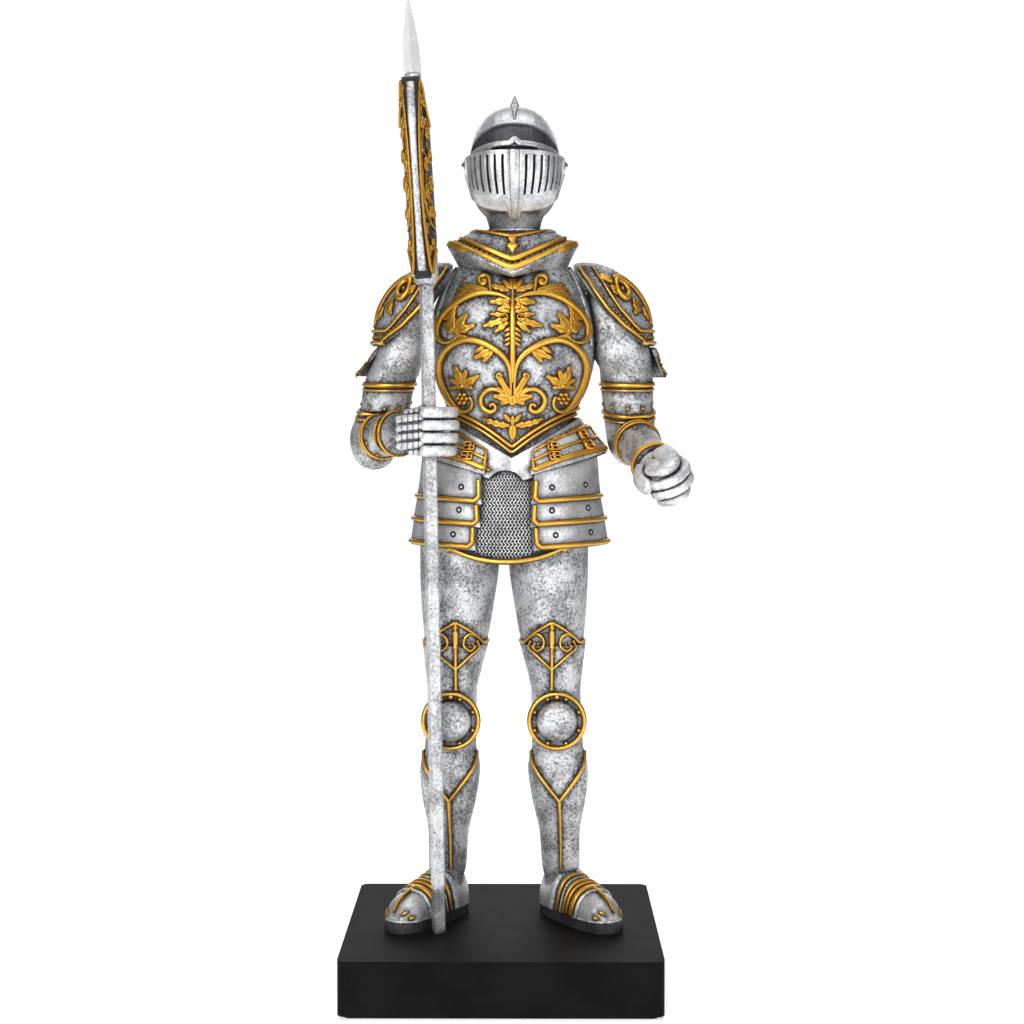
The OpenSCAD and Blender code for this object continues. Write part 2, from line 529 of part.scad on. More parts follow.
module helmet_comb() color(SILVER) difference() {
    union() {
        intersection() {
            lune(comb_front, comb_back) polygon(half_round(skull_half_w + 1.6, skull_r + 1.6, skull_power));
            translate([helm[0] - comb_t / 2, helm[1] - 30, helm[2] - 30]) cube([comb_t, 60, 60]);
        }
        translate([helm[0], helm[1] + 1.4, helm[2] + skull_r - 0.5]) cylinder(h = 4.2, r1 = 1.9, r2 = 0.3, $fn = 24);
    }
    lune(0, 360) polygon(half_round(skull_half_w, skull_r, skull_power));
}

ear_r = 2.8;
ear_t = 0.85;
visor_half_w = skull_half_w + 0.2;
visor_steps = 22;
visor_arc = 7;
cheek_end = 88.5;                 // how near to the pivots the shell's profile runs
function visor_point(t, a, e) = let (r = (visor_inner_r + t) * pow(cos(a), 2 / visor_power))
    helm + [(visor_half_w + t) * sign(a) * pow(abs(sin(a)), 2 / visor_power), -r * cos(e), r * sin(e)];
module visor_shell(e0, e1, t0, t1) wall([for (j = [0 : visor_steps])
    let (a = cheek_end * (2 * j / visor_steps - 1)) concat(
        [for (i = [visor_arc : -1 : 0]) visor_point(t1, a, e0 + (e1 - e0) * i / visor_arc)],
        [for (i = [0 : visor_arc]) visor_point(t0, a, e0 + (e1 - e0) * i / visor_arc)])]);
// Sights are upright slots at even steps round the face.
sight_step = 9.8;
sight_first = 13;
module sight_slot(turn) translate([helm[0], helm[1], helm[2]]) rotate([0, 0, turn]) {
    a = abs(turn);
    // Distance from the pivots' line to the visor where this sight cuts it.
    reach = cos(a) * pow(pow(sin(a) / visor_half_w, visor_power) + pow(cos(a) / visor_inner_r, visor_power), -1 / visor_power);
    high = min(2.8 * pow(cos(a), 0.75), sin(visor_high) * reach - 0.5);
    low = max(-10.6 * pow(cos(a), 0.75), sin(visor_low) * reach + 0.8);
    translate([-sight_w / 2, -30, low]) cube([sight_w, 26, high - low]);
}
module visor() color(SILVER) difference() {
    union() {
        visor_shell(visor_low, visor_high, 0, visor_t);
        intersection() {
            visor_shell(tab_low, visor_low + 1, 0.1, visor_t - 0.1);
            translate([helm[0] - 3.2, helm[1] - 30, helm[2] - 30]) cube([6.4, 30, 30]);
        }
        for (s = [-1, 1]) translate(helm) rotate([0, s * 90, 0]) translate([0, 0, visor_half_w + 0.5])
            cylinder(h = ear_t, r = ear_r, $fn = round_n);
    }
    pivot_hole(pivot_r + pivot_gap);
    for (k = [0 : sights - 1], s = [-1, 1]) sight_slot(s * (sight_first + k * sight_step));
}
pivot_head_h = 0.3;
module visor_pivots() color(SILVER) for (s = [-1, 1]) translate(helm) rotate([0, s * 90, 0]) {
    translate([0, 0, core_half_w + 0.1]) cylinder(h = visor_half_w + ear_t + 0.45 - core_half_w, r = pivot_r, $fn = round_n);
    translate([0, 0, visor_half_w + 0.5 + ear_t + 0.05]) cylinder(h = pivot_head_h, r1 = 1.5, r2 = 1, $fn = round_n);
}

// ---------------------------------------------------------------- drawing
plinth();
felt_pad();
fixing_screws();
left_sole();
left_sabaton();
left_greave();
left_poleyn();
left_lower_cuisse();
left_cuisse();
right_sole();
right_sabaton();
right_greave();
right_poleyn();
right_lower_cuisse();
right_cuisse();
hip_core();
mail_skirt();
fauld();
left_tasset_upper();
left_tasset_middle();
left_tasset_lower();
right_tasset_upper();
right_tasset_middle();
right_tasset_lower();
left_belt();
right_belt();
belt_buckles();
breastplate();
backplate();
gorget_plate();
gorget_collar();
left_pauldron();
left_pauldron_wing();
left_rerebrace();
left_couter();
left_vambrace();
left_cuff();
left_gauntlet();
right_pauldron();
right_pauldron_wing();
right_rerebrace();
right_couter();
right_vambrace();
right_cuff();
right_gauntlet();
head_core();
helmet_skull();
helmet_comb();
sight_plate();
bevor();
visor();
visor_pivots();
halberd_shaft();
butt_ferrule();
halberd_socket();
axe_blade();
rear_fluke();
top_spike();
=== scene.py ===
# %% [markdown]
# # A knight with a halberd, as a painted resin statuette
# The statuette is cast resin, painted in antiqued silver and gold, on a black plinth.
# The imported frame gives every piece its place. This script gives the pieces their finish:
# smooth armour plates, raised gold leaf scrolls, mail, rivets, a slotted visor and the paint.

# %% Load the frame
import math

import bmesh
import bpy
import numpy as np
from mathutils import Matrix, Vector, noise
from mathutils.bvhtree import BVHTree
from mathutils.kdtree import KDTree


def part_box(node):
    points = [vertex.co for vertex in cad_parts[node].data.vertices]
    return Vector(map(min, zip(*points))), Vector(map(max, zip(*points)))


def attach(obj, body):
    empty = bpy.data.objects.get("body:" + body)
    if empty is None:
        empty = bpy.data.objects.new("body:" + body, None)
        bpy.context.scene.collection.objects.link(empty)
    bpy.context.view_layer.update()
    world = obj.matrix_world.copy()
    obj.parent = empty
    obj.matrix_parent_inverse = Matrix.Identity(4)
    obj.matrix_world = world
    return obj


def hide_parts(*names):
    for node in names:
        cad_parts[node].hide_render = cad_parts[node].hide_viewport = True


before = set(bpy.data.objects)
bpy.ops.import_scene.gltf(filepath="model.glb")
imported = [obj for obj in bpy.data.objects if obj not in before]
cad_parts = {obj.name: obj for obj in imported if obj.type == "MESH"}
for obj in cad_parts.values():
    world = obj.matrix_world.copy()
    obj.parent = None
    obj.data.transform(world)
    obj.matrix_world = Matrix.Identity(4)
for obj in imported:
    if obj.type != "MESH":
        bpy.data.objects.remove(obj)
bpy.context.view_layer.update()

MM = 0.001
SIDES = (("left_", 1), ("right_", -1))

# %% [markdown]
# ## Camera, light and floor
# The lens looks at the statuette from a little below the helmet, so the plinth's top shows.
# Painted metal lives on what it mirrors, so two large soft lights stand at the sides,
# with a pale world between them. The floor is plain and pale.

# %% Camera
EYE = Vector((0.007, -0.6713, 0.191))
PITCH = math.radians(2.05)
YAW = math.radians(0.33)
LENS_MM = 72.6
LOWER_VIEW = -0.045
camera_data = bpy.data.cameras.new("camera")
camera_data.lens = LENS_MM
camera_data.sensor_width = 36
camera_data.shift_y = LOWER_VIEW
camera = bpy.data.objects.new("camera", camera_data)
camera.location = EYE
camera.rotation_euler = (math.pi / 2 - PITCH, 0, YAW)
bpy.context.collection.objects.link(camera)
bpy.context.scene.camera = camera
print("camera at", tuple(EYE), "with a", LENS_MM, "mm lens")

# %% Lights and world


def area_light(name, place, target, size, watts, colour=(1, 1, 1)):
    data = bpy.data.lights.new(name, "AREA")
    data.shape = "RECTANGLE"
    data.size, data.size_y = size
    data.energy = watts
    data.color = colour
    lamp = bpy.data.objects.new(name, data)
    lamp.location = place
    lamp.rotation_euler = (Vector(target) - Vector(place)).to_track_quat("-Z", "Y").to_euler()
    bpy.context.collection.objects.link(lamp)


CHEST = (0, 0, 0.18)
ROOM_GLOW = 0.19
BACKDROP_GLOW = 1.1
area_light("key", (-0.3, -1.0, 0.55), CHEST, (0.5, 0.6), 8.6)
area_light("fill", (0.7, -0.8, 0.3), CHEST, (0.3, 0.6), 2.2)
area_light("top", (0.0, 0.0, 1.2), CHEST, (1.0, 1.0), 5)
area_light("back", (0.0, 0.9, 0.5), CHEST, (0.9, 0.5), 3)

world = bpy.data.worlds.new("studio")
world.use_nodes = True
sky = world.node_tree
sky.nodes["Background"].inputs["Color"].default_value = (0.96, 0.97, 1.0, 1)
seen = sky.nodes.new("ShaderNodeLightPath")
strength = sky.nodes.new("ShaderNodeMapRange")
strength.inputs["To Min"].default_value = ROOM_GLOW
strength.inputs["To Max"].default_value = BACKDROP_GLOW
sky.links.new(seen.outputs["Is Camera Ray"], strength.inputs["Value"])
sky.links.new(strength.outputs["Result"], sky.nodes["Background"].inputs["Strength"])
bpy.context.scene.world = world
bpy.context.scene.view_settings.view_transform = "Standard"
print("lights:", len(bpy.data.lights))

# %% [markdown]
# ## Shader helpers
# A paint recipe reads best as arithmetic. The class below wraps a socket so that plus, minus
# and times add Math nodes. Any other node comes from one method.

# %% Sockets that do arithmetic


class Wire:
    """A socket, or a number, that Python arithmetic can be done on."""

    def __init__(self, paint, socket):
        self.paint = paint
        self.socket = socket

    def math(self, operation, *others):
        return self.paint.node("ShaderNodeMath", {"operation": operation}, self, *others)

    def __add__(self, other):
        return self.math("ADD", other)

    def __sub__(self, other):
        return self.math("SUBTRACT", other)

    def __rsub__(self, other):
        return self.math("MULTIPLY", -1).math("ADD", other)

    def __mul__(self, other):
        return self.math("MULTIPLY", other)

    __radd__ = __add__
    __rmul__ = __mul__

    def clamp(self):
        return self.math("MINIMUM", 1).math("MAXIMUM", 0)


class Paint:
    """A material under construction."""

    def __init__(self, name):
        self.material = bpy.data.materials.new(name)
        self.material.use_nodes = True
        self.tree = self.material.node_tree
        self.shader = self.tree.nodes["Principled BSDF"]
        self.place = self.node("ShaderNodeTexCoord", out="Object")

    def node(self, kind, settings=None, *values, out=0, **named):
        made = self.tree.nodes.new(kind)
        for key, value in (settings or {}).items():
            setattr(made, key, value)
        for key, value in list(enumerate(values)) + list(named.items()):
            socket = made.inputs[key.replace("_", " ") if isinstance(key, str) else key]
            if isinstance(value, Wire):
                self.tree.links.new(value.socket, socket)
            elif value is not None:
                socket.default_value = value
        return Wire(self, made.outputs[out])

    def noise(self, per_mm, detail=3, roughness=0.55, offset=(0, 0, 0)):
        """Cloudy noise from 0 to 1, with this many blotches to a millimetre."""
        place = self.node("ShaderNodeMapping", None, self.place, offset)
        return self.node("ShaderNodeTexNoise", None, place, Scale=per_mm / MM, Detail=detail, Roughness=roughness)

    def step(self, value, low, high):
        """0 below low, 1 above high, smooth between."""
        return self.node("ShaderNodeMapRange", {"interpolation_type": "SMOOTHSTEP"}, value, low, high, 0.0, 1.0)

    def mix(self, factor, a, b):
        """Colour a where the factor is 0, colour b where it is 1."""
        made = self.tree.nodes.new("ShaderNodeMix")
        made.data_type = "RGBA"
        for key, value in (("Factor_Float", factor), ("A_Color", a), ("B_Color", b)):
            socket = next(s for s in made.inputs if s.identifier == key)
            if isinstance(value, Wire):
                self.tree.links.new(value.socket, socket)
            else:
                socket.default_value = value if isinstance(value, float) else (*value, 1)
        return Wire(self, next(s for s in made.outputs if s.identifier == "Result_Color"))

    def attribute(self, name):
        return self.node("ShaderNodeAttribute", {"attribute_name": name}, out="Fac")

    def hollow(self, reach_mm):
        """Ambient occlusion, for painted shade: 1 in the open, towards 0 deep in a hollow."""
        return self.node("ShaderNodeAmbientOcclusion", {"samples": 6}, Distance=reach_mm * MM, out="AO")

    def bump(self, height, depth_mm):
        return self.node("ShaderNodeBump", None, Strength=1.0, Distance=depth_mm * MM, Height=height, out="Normal")

    def set(self, **sockets):
        for key, value in sockets.items():
            socket = self.shader.inputs[key.replace("_", " ")]
            if isinstance(value, Wire):
                self.tree.links.new(value.socket, socket)
            else:
                socket.default_value = (*value, 1) if isinstance(value, tuple) else value
        return self.material


# %% [markdown]
# ## Paints
# The silver is a bright paint, dabbed on a rough casting, with a black wash that stays in
# its fine dents, and with painted shade in its low places. Two things tell the shader where the
# painted shade lies: ambient occlusion, and an attribute that every silver piece gets from its
# distance to the raised gold. The gold has a painted highlight on its crests, and painted shade that goes brown and
# then black towards its foot.

# %% Silver paints


def silver_paint(name, dark, mid, bright, grit, hammer_mm, smooth=0.36, metal=0.8):
    """Grit is how much black stays in the fine dents, and hammer_mm how deep the dents are."""
    p = Paint(name)
    broad = p.noise(0.14, detail=3, roughness=0.55)
    dents = p.noise(1.1, detail=4, roughness=0.66, offset=(0.3, 0.1, 0.7))
    fine = p.noise(2.8, detail=4, roughness=0.75)
    specks = p.noise(3.4, detail=2, roughness=0.6, offset=(0.5, 0.2, 0.1))
    # Ambient occlusion darkens crevices and the gaps between parts: painted shade.
    painted_crevice_shade = 1 - p.step(p.hollow(3.0), 0.25, 0.97)
    # Darker beside the raised gold: painted shade, with the wash that gathers there.
    wash_and_shade_near_gold = p.attribute("wash_and_shade")
    worn = p.step(broad * 0.6 + dents * 0.4, 0.39, 0.61)
    low = 1 - p.step(fine * 0.5 + dents * 0.5, 0.38, 0.56)
    speck = 1 - p.step(specks, 0.36, 0.47)
    thin = 1 - worn * 0.72
    dents_full = low * thin * grit + speck * thin * (grit * 0.75)
    # Black wash in the dents, and painted shade in the crevices and beside the gold.
    wash_and_shade = (dents_full + painted_crevice_shade + wash_and_shade_near_gold * (0.3 + fine * 0.8)).clamp()
    dabs = p.step(fine * 0.7 + worn * 0.3, 0.25, 0.75)
    colour = p.mix(dabs, mid, bright)
    colour = p.mix(wash_and_shade, colour, dark)
    rough = smooth + wash_and_shade * 0.3 + fine * 0.1
    relief = dents * 0.6 + fine * 0.4
    return p.set(Base_Color=colour, Metallic=metal - wash_and_shade * (metal * 0.7), Roughness=rough,
                 Normal=p.bump(relief, hammer_mm))


SILVER = silver_paint("antiqued_silver", (0.015, 0.015, 0.018), (0.32, 0.325, 0.335), (0.78, 0.79, 0.81), 0.75, 0.3)
HELMET = silver_paint("polished_silver", (0.03, 0.03, 0.034), (0.50, 0.50, 0.51), (0.78, 0.79, 0.80), 0.25, 0.08, 0.3)
# A dark silver for the bevor: painted shade under the visor.
SHADE_SILVER = silver_paint("painted_shade_silver", (0.01, 0.01, 0.012), (0.16, 0.16, 0.165), (0.36, 0.36, 0.37), 0.4, 0.08, 0.34)
# Near-black silver, painted shade: in the helmet's opening behind the sights and on the soles.
SHADE_BLACK = silver_paint("painted_shade_black", (0.01, 0.01, 0.012), (0.06, 0.06, 0.065), (0.13, 0.13, 0.135), 0.3, 0.08, 0.34)
HAND = silver_paint("hand_silver", (0.012, 0.012, 0.014), (0.62, 0.62, 0.63), (0.88, 0.89, 0.90), 0.4, 0.12, 0.36, 0.55)
SHAFT = silver_paint("worn_silver", (0.04, 0.04, 0.045), (0.46, 0.46, 0.47), (0.80, 0.81, 0.82), 0.62, 0.12, 0.36, 0.5)
SPIKE = silver_paint("pale_silver", (0.3, 0.3, 0.3), (0.88, 0.88, 0.885), (0.97, 0.97, 0.97), 0.2, 0.08, 0.4, 0.12)
MAIL = silver_paint("mail_silver", (0.012, 0.012, 0.014), (0.62, 0.62, 0.63), (0.94, 0.94, 0.95), 0.15, 0.08, 0.36)

# %% [markdown]
# The gold goes by its own "crest" attribute, which gives it a painted highlight on top and painted shade
# at its foot. The plinth, the felt and the black share one recipe: a plain dark colour with a haze and a fine grain;
# the black is paint on some pieces and painted shade in the deep hollows.

# %% Gold, black and felt


def gold_paint(name):
    p = Paint(name)
    crest = p.attribute("crest")
    fine = p.noise(1.7, detail=4, roughness=0.6)
    broad = p.noise(0.35, detail=2)
    # The crest sets a painted highlight along the top of the gold and painted shade at its foot and in the leaves'
    # veins.
    height = (crest * 0.8 + fine * 0.35 + broad * 0.2 - 0.1).clamp()
    shade = p.step(height, 0.12, 0.6)
    shine = p.step(height, 0.55, 0.98)
    colour = p.mix(shade, (0.05, 0.022, 0.006), (0.50, 0.235, 0.022))
    colour = p.mix(shine, colour, (0.80, 0.46, 0.075))
    # Ambient occlusion darkens the gold's crevices: painted shade.
    painted_crevice_shade = 1 - p.step(p.hollow(0.8), 0.25, 0.8)
    colour = p.mix(painted_crevice_shade * 0.8, colour, (0.03, 0.014, 0.004))
    return p.set(Base_Color=colour, Metallic=0.55 + shade * 0.35, Roughness=0.42 - shine * 0.14,
                 Normal=p.bump(fine, 0.12))


def black_paint(name, colour, rough, grain_mm, grain_per_mm=1.2, gloss=0.3):
    p = Paint(name)
    grain = p.noise(grain_per_mm, detail=4)
    haze = p.step(p.noise(0.06, detail=2), 0.35, 0.7)
    lighter = tuple(c * 1.7 + 0.004 for c in colour)
    return p.set(Base_Color=p.mix(haze * 0.5 + grain * 0.3, colour, lighter), Roughness=rough + grain * 0.12,
                 Specular_IOR_Level=gloss, Normal=p.bump(grain, grain_mm))


GOLD = gold_paint("antiqued_gold")
# Black paint on the axe's cheeks and the stitches; painted shade on the head's core and round the rivets; black under
# the mail links.
DARK = black_paint("black_paint_and_shade", (0.012, 0.012, 0.013), 0.5, 0.1)
PLINTH = black_paint("plinth_black", (0.004, 0.004, 0.0045), 0.5, 0.03, 0.7, 0.04)
FELT = black_paint("felt", (0.01, 0.01, 0.01), 0.85, 0.25, 3)
STEEL = silver_paint("steel", (0.03, 0.03, 0.03), (0.2, 0.2, 0.2), (0.45, 0.45, 0.46), 0.5, 0.1, 0.4)

floor_paint = Paint("floor")
FLOOR = floor_paint.set(Base_Color=floor_paint.mix(floor_paint.noise(0.01), (0.9, 0.9, 0.9), (0.94, 0.94, 0.94)),
                        Roughness=0.6, Emission_Color=(1.0, 1.0, 1.0), Emission_Strength=0.55)
FLOOR_HALF = 0.8
floor_mesh = bpy.data.meshes.new("floor")
floor_mesh.from_pydata([(x * FLOOR_HALF, y * FLOOR_HALF, 0) for x, y in ((-1, -1), (1, -1), (1, 1), (-1, 1))], [],
                       [(0, 1, 2, 3)])
floor = bpy.data.objects.new("floor", floor_mesh)
floor_mesh.materials.append(FLOOR)
bpy.context.collection.objects.link(floor)
print("paints:", len(bpy.data.materials))

# %% [markdown]
# ## Mesh helpers
# Sizes are written in millimetres and become metres when a mesh is made.
# Each finished piece rides on a body and replaces its CAD node.

# %% Finish a piece
SILVER_PIECES = []
GOLD_PLACES = []


def finish(name, verts, faces, material, body="figure", slot="silver_plate", replaces=(), attributes=None,
           sharp=None):
    """Makes a piece from points in mm, with its normals outwards."""
    mesh = bpy.data.meshes.new(name)
    mesh.from_pydata([tuple(c * MM for c in v) for v in verts], [], [tuple(f) for f in faces])
    for key, values in (attributes or {}).items():
        mesh.attributes.new(key, "FLOAT", "POINT").data.foreach_set("value", values)
    return adopt(name, mesh, material, body, replaces, sharp)


def adopt(name, mesh, material, body, replaces, sharp=None):
    """Gives a mesh in metres its paint, smooth shading, body and CAD node."""
    bm = bmesh.new()
    bm.from_mesh(mesh)
    bmesh.ops.recalc_face_normals(bm, faces=bm.faces)
    for face in bm.faces:
        face.smooth = True
    if sharp:
        for edge in bm.edges:
            if edge.is_manifold and edge.calc_face_angle() > math.radians(sharp):
                edge.smooth = False
    bm.to_mesh(mesh)
    bm.free()
    mesh.materials.clear()
    mesh.materials.append(material)
    piece = bpy.data.objects.new(name, mesh)
    bpy.context.collection.objects.link(piece)
    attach(piece, body)
    if replaces:
        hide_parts(*replaces)
    if material in (SILVER, HELMET, SHADE_SILVER, MAIL, HAND):
        SILVER_PIECES.append(piece)
    if material == GOLD:
        GOLD_PLACES.append(piece)
    return piece


def evaluated(mesh, *modifiers):
    """Runs modifiers, each a (type, settings) pair, on a mesh and returns the plain result."""
    holder = bpy.data.objects.new("holder", mesh)
    bpy.context.collection.objects.link(holder)
    for kind, settings in modifiers:
        made = holder.modifiers.new(kind, kind)
        for key, value in settings.items():
            setattr(made, key, value)
    bpy.context.view_layer.update()
    done = bpy.data.meshes.new_from_object(holder.evaluated_get(bpy.context.evaluated_depsgraph_get()))
    bpy.data.objects.remove(holder)
    return done


# %% [markdown]
# ## Smooth castings from the frame
# The frame's plates and limbs are faceted, with the right shape at every facet's corner.
# Each is merged, its triangles are joined to quads, its hard edges are creased, and
# subdivision then rounds what lies between the creases. So the piece keeps the frame's
# size, and its mesh gets fine enough to carry the wash around the gold.

# %% Smooth copies
CREASE_DEG = 38


def smooth_copy(node, material=None, levels=2, body="figure"):
    """A rounded copy of one of the frame's nodes, which takes that node's place."""
    bm = bmesh.new()
    bm.from_mesh(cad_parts[node].data)
    bmesh.ops.remove_doubles(bm, verts=bm.verts, dist=0.003 * MM)
    bmesh.ops.dissolve_degenerate(bm, edges=bm.edges, dist=0.002 * MM)
    bmesh.ops.join_triangles(bm, faces=bm.faces, angle_face_threshold=math.radians(30),
                             angle_shape_threshold=math.radians(60))
    crease = bm.edges.layers.float.new("crease_edge")
    for edge in bm.edges:
        if not edge.is_manifold or edge.calc_face_angle() > math.radians(CREASE_DEG):
            edge[crease] = 1.0
    rough = bpy.data.meshes.new(node)
    bm.to_mesh(rough)
    bm.free()
    fine = evaluated(rough, ("SUBSURF", {"levels": levels, "render_levels": levels}))
    return adopt(node + "_plate", fine, material or SILVER, body, [node], CREASE_DEG)


LIMBS = ["cuisse", "lower_cuisse", "poleyn", "greave", "sabaton", "rerebrace", "couter", "vambrace"]
plates = {}
for side, _ in SIDES:
    for limb in LIMBS:
        plates[side + limb] = smooth_copy(side + limb, material=HELMET if limb == "sabaton" else SILVER)
plates["trunk"] = smooth_copy("breastplate", levels=3)
plates["back"] = smooth_copy("backplate", levels=3)
for node in ("gorget_plate", "gorget_collar"):
    plates[node] = smooth_copy(node)
for node in ["fauld"] + [side + "tasset_" + level for side, _ in SIDES for level in ("upper", "middle", "lower")]:
    plates[node] = smooth_copy(node, material=HELMET)
for node in ("left_pauldron", "right_pauldron", "left_pauldron_wing", "right_pauldron_wing"):
    plates[node] = smooth_copy(node)
plates["hips"] = smooth_copy("hip_core")
print("smooth castings:", len(plates), "with", sum(len(p.data.polygons) for p in plates.values()), "faces")

# %% [markdown]
# Some castings are then nudged, so that neighbours close up: the hips' lower edge hides
# behind the lowest tassets, the thighs run up inside the hips, the upper tassets run up
# under the belts, and the left upper arm leans on the breastplate.

# %% Fitting the castings to one another
HIP_X, HIP_Y = 2.3, 4
TURN_REACH = 24


def reshape(piece, rule):
    """Moves each point of a casting, in mm; the rule takes a place and returns the new one."""
    for vertex in piece.data.vertices:
        vertex.co = rule(vertex.co / MM) * MM


def stretch(low, high, new_low, new_high):
    """A rule that moves heights from low..high to new_low..new_high and leaves the rest."""
    def rule(p):
        t = min(1.0, max(0.0, (p.z - low) / (high - low)))
        return Vector((p.x, p.y, p.z + (new_low - low) * (1 - t) + (new_high - high) * t))
    return rule


def slide(piece, sign, shift):
    """Turns a hip plate's front end towards the middle, fading out along its side."""
    def rule(p):
        x, y = p.x - HIP_X, p.y - HIP_Y
        fade = max(0.0, 1 - max(0.0, abs(x) - 9) / 15) if y < 0 else 0.0
        a = sign * shift / TURN_REACH * fade
        c, s = math.cos(a), math.sin(a)
        return Vector((HIP_X + x * c + y * s, HIP_Y + y * c - x * s, p.z))
    reshape(piece, rule)


HIPS_LOW, HIPS_TOP = (corner[2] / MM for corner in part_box("hip_core"))
reshape(plates["hips"], stretch(HIPS_LOW, HIPS_TOP, 141.8, HIPS_TOP))
ARM_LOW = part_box("right_rerebrace")[0][2] / MM
reshape(plates["right_rerebrace"], stretch(ARM_LOW, ARM_LOW + 4, ARM_LOW - 1.8, ARM_LOW + 4))
ARM_X = sum(corner[0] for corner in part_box("left_rerebrace")) / 2 / MM


def against_chest(p):
    """The left upper arm lies against the breastplate above the waist."""
    up = min(1.0, max(0.0, (p.z - 199) / 5))
    return p - Vector((2.6 * up * min(1.0, max(0.0, (ARM_X + 2 - p.x) / 7)), 0, 0))


reshape(plates["left_rerebrace"], against_chest)
reshape(plates["right_pauldron_wing"], lambda p: p + Vector((2.2, 0, 1.4)))
reshape(plates["left_pauldron_wing"], lambda p: p + Vector((-0.4, 0, 1.0)))
for side, _ in SIDES:
    reshape(plates[side + "cuisse"], stretch(133, 136, 133, 144))
    reshape(plates[side + "tasset_upper"], stretch(160, 165.6, 160, 171))
print("the hips now start at", round(min(v.co.z for v in plates["hips"].data.vertices) / MM, 1), "mm")

# %% [markdown]
# ## Charts: drawing flat, landing on the plate
# The raised gold follows the plates. It is easiest to draw on a flat sheet in millimetres,
# and then to drop each point on the plate below it. A chart holds the plates and says
# which way a point of the sheet falls: straight back, straight down, or towards a limb's axis.

# %% Charts


def tree_of(pieces):
    verts, faces = [], []
    for piece in pieces:
        base = len(verts)
        verts += [v.co.copy() for v in piece.data.vertices]
        faces += [tuple(base + i for i in f.vertices) for f in piece.data.polygons]
    return BVHTree.FromPolygons(verts, faces)


class Chart:
    """Drops points (u, v) of a flat sheet, in mm, on the pieces it was made for."""

    def __init__(self, pieces):
        self.tree = tree_of(pieces if isinstance(pieces, list) else [pieces])

    def hits(self, u, v):
        start, aim = self.ray(u, v)
        return self.tree.ray_cast(start * MM, aim)[0] is not None

    def at(self, u, v):
        start, aim = self.ray(u, v)
        hit, normal, _, _ = self.tree.ray_cast(start * MM, aim)
        if hit is None:
            hit, normal, _, _ = self.tree.find_nearest(self.guess(u, v) * MM)
        if normal.dot(aim) > 0.2:
            normal = -normal
        return hit / MM, normal


class FlatChart(Chart):
    """Falls along one direction: the sheet stands up facing -Y or a side, or lies facing up."""

    def __init__(self, pieces, aim=(0, 1, 0), origin=(0, 0, 0)):
        super().__init__(pieces)
        self.aim, self.origin = Vector(aim), Vector(origin)

    def spread(self, u, v):
        if abs(self.aim.z) > 0.5:
            return self.origin + Vector((u, v, 0))
        if abs(self.aim.x) > 0.5:
            return self.origin + Vector((0, u, v))
        return self.origin + Vector((u, 0, v))

    def ray(self, u, v):
        return self.spread(u, v) - self.aim * 400, self.aim

    def guess(self, u, v):
        return self.spread(u, v) - self.aim * 10


class RoundChart(Chart):
    """Wraps round an axis: u is the length round the piece, v the height along the axis."""

    def __init__(self, pieces, origin, level, axis=(0, 0, 1), front=(0, -1, 0)):
        super().__init__(pieces)
        self.origin = Vector(origin)
        self.axis = Vector(axis).normalized()
        self.front = (Vector(front) - self.axis * Vector(front).dot(self.axis)).normalized()
        self.side = self.front.cross(self.axis) * -1
        self.angles = np.linspace(-math.pi, math.pi, 145)
        reach = []
        for angle in self.angles:
            out = self.out(angle)
            here = level(math.degrees(angle)) if callable(level) else level
            start = (self.origin + self.axis * here + out * 90) * MM
            hit = self.tree.ray_cast(start, -out)[0]
            reach.append(90 - (hit - start).length / MM if hit is not None else None)
        known = [i for i, r in enumerate(reach) if r is not None]
        for i, r in enumerate(reach):
            if r is None:
                reach[i] = reach[min(known, key=lambda k: min(abs(k - i), 144 - abs(k - i)))]
        ring = [self.out(angle) * r for angle, r in zip(self.angles, reach)]
        steps = [0.0] + [(b - a).length for a, b in zip(ring, ring[1:])]
        self.lengths = np.cumsum(steps)
        self.lengths -= self.lengths[72]

    def out(self, angle):
        return self.front * math.cos(angle) + self.side * math.sin(angle)

    def u(self, degrees):
        return float(np.interp(math.radians(degrees), self.angles, self.lengths))

    def angle(self, u):
        return float(np.interp(u, self.lengths, self.angles))

    def ray(self, u, v):
        out = self.out(self.angle(u))
        return self.origin + self.axis * v + out * 90, -out

    def guess(self, u, v):
        start, aim = self.ray(u, v)
        return start + aim * 70


class BallChart(Chart):
    """Falls towards a centre: u is a length along its equator, v a length towards its pole."""

    def __init__(self, pieces, centre, radius, outside):
        super().__init__(pieces)
        self.centre, self.radius, self.outside = Vector(centre), radius, outside

    def ray(self, u, v):
        a, e = u / self.radius, v / self.radius
        out = Vector((self.outside * math.cos(a) * math.cos(e), -math.sin(a) * math.cos(e), math.sin(e)))
        return self.centre + out * 80, -out

    def guess(self, u, v):
        start, aim = self.ray(u, v)
        return start + aim * 60

    def uv(self, x, y, z):
        flat = math.hypot(x, y)
        return self.radius * math.atan2(-y, x * self.outside), self.radius * math.atan2(z, flat)


# %% [markdown]
# ## Raised gold
# All the ornament comes from a few strokes: a strip with a rounded top, whose width can
# swell and shrink along its path, a spiral, a leaf and a bead. Each stroke is closed below,
# inside the plate. The attribute "crest" is 1 along the top and 0 at the foot, and the gold's paint turns it into a
# painted highlight on top and painted shade at the foot.

# %% Strokes


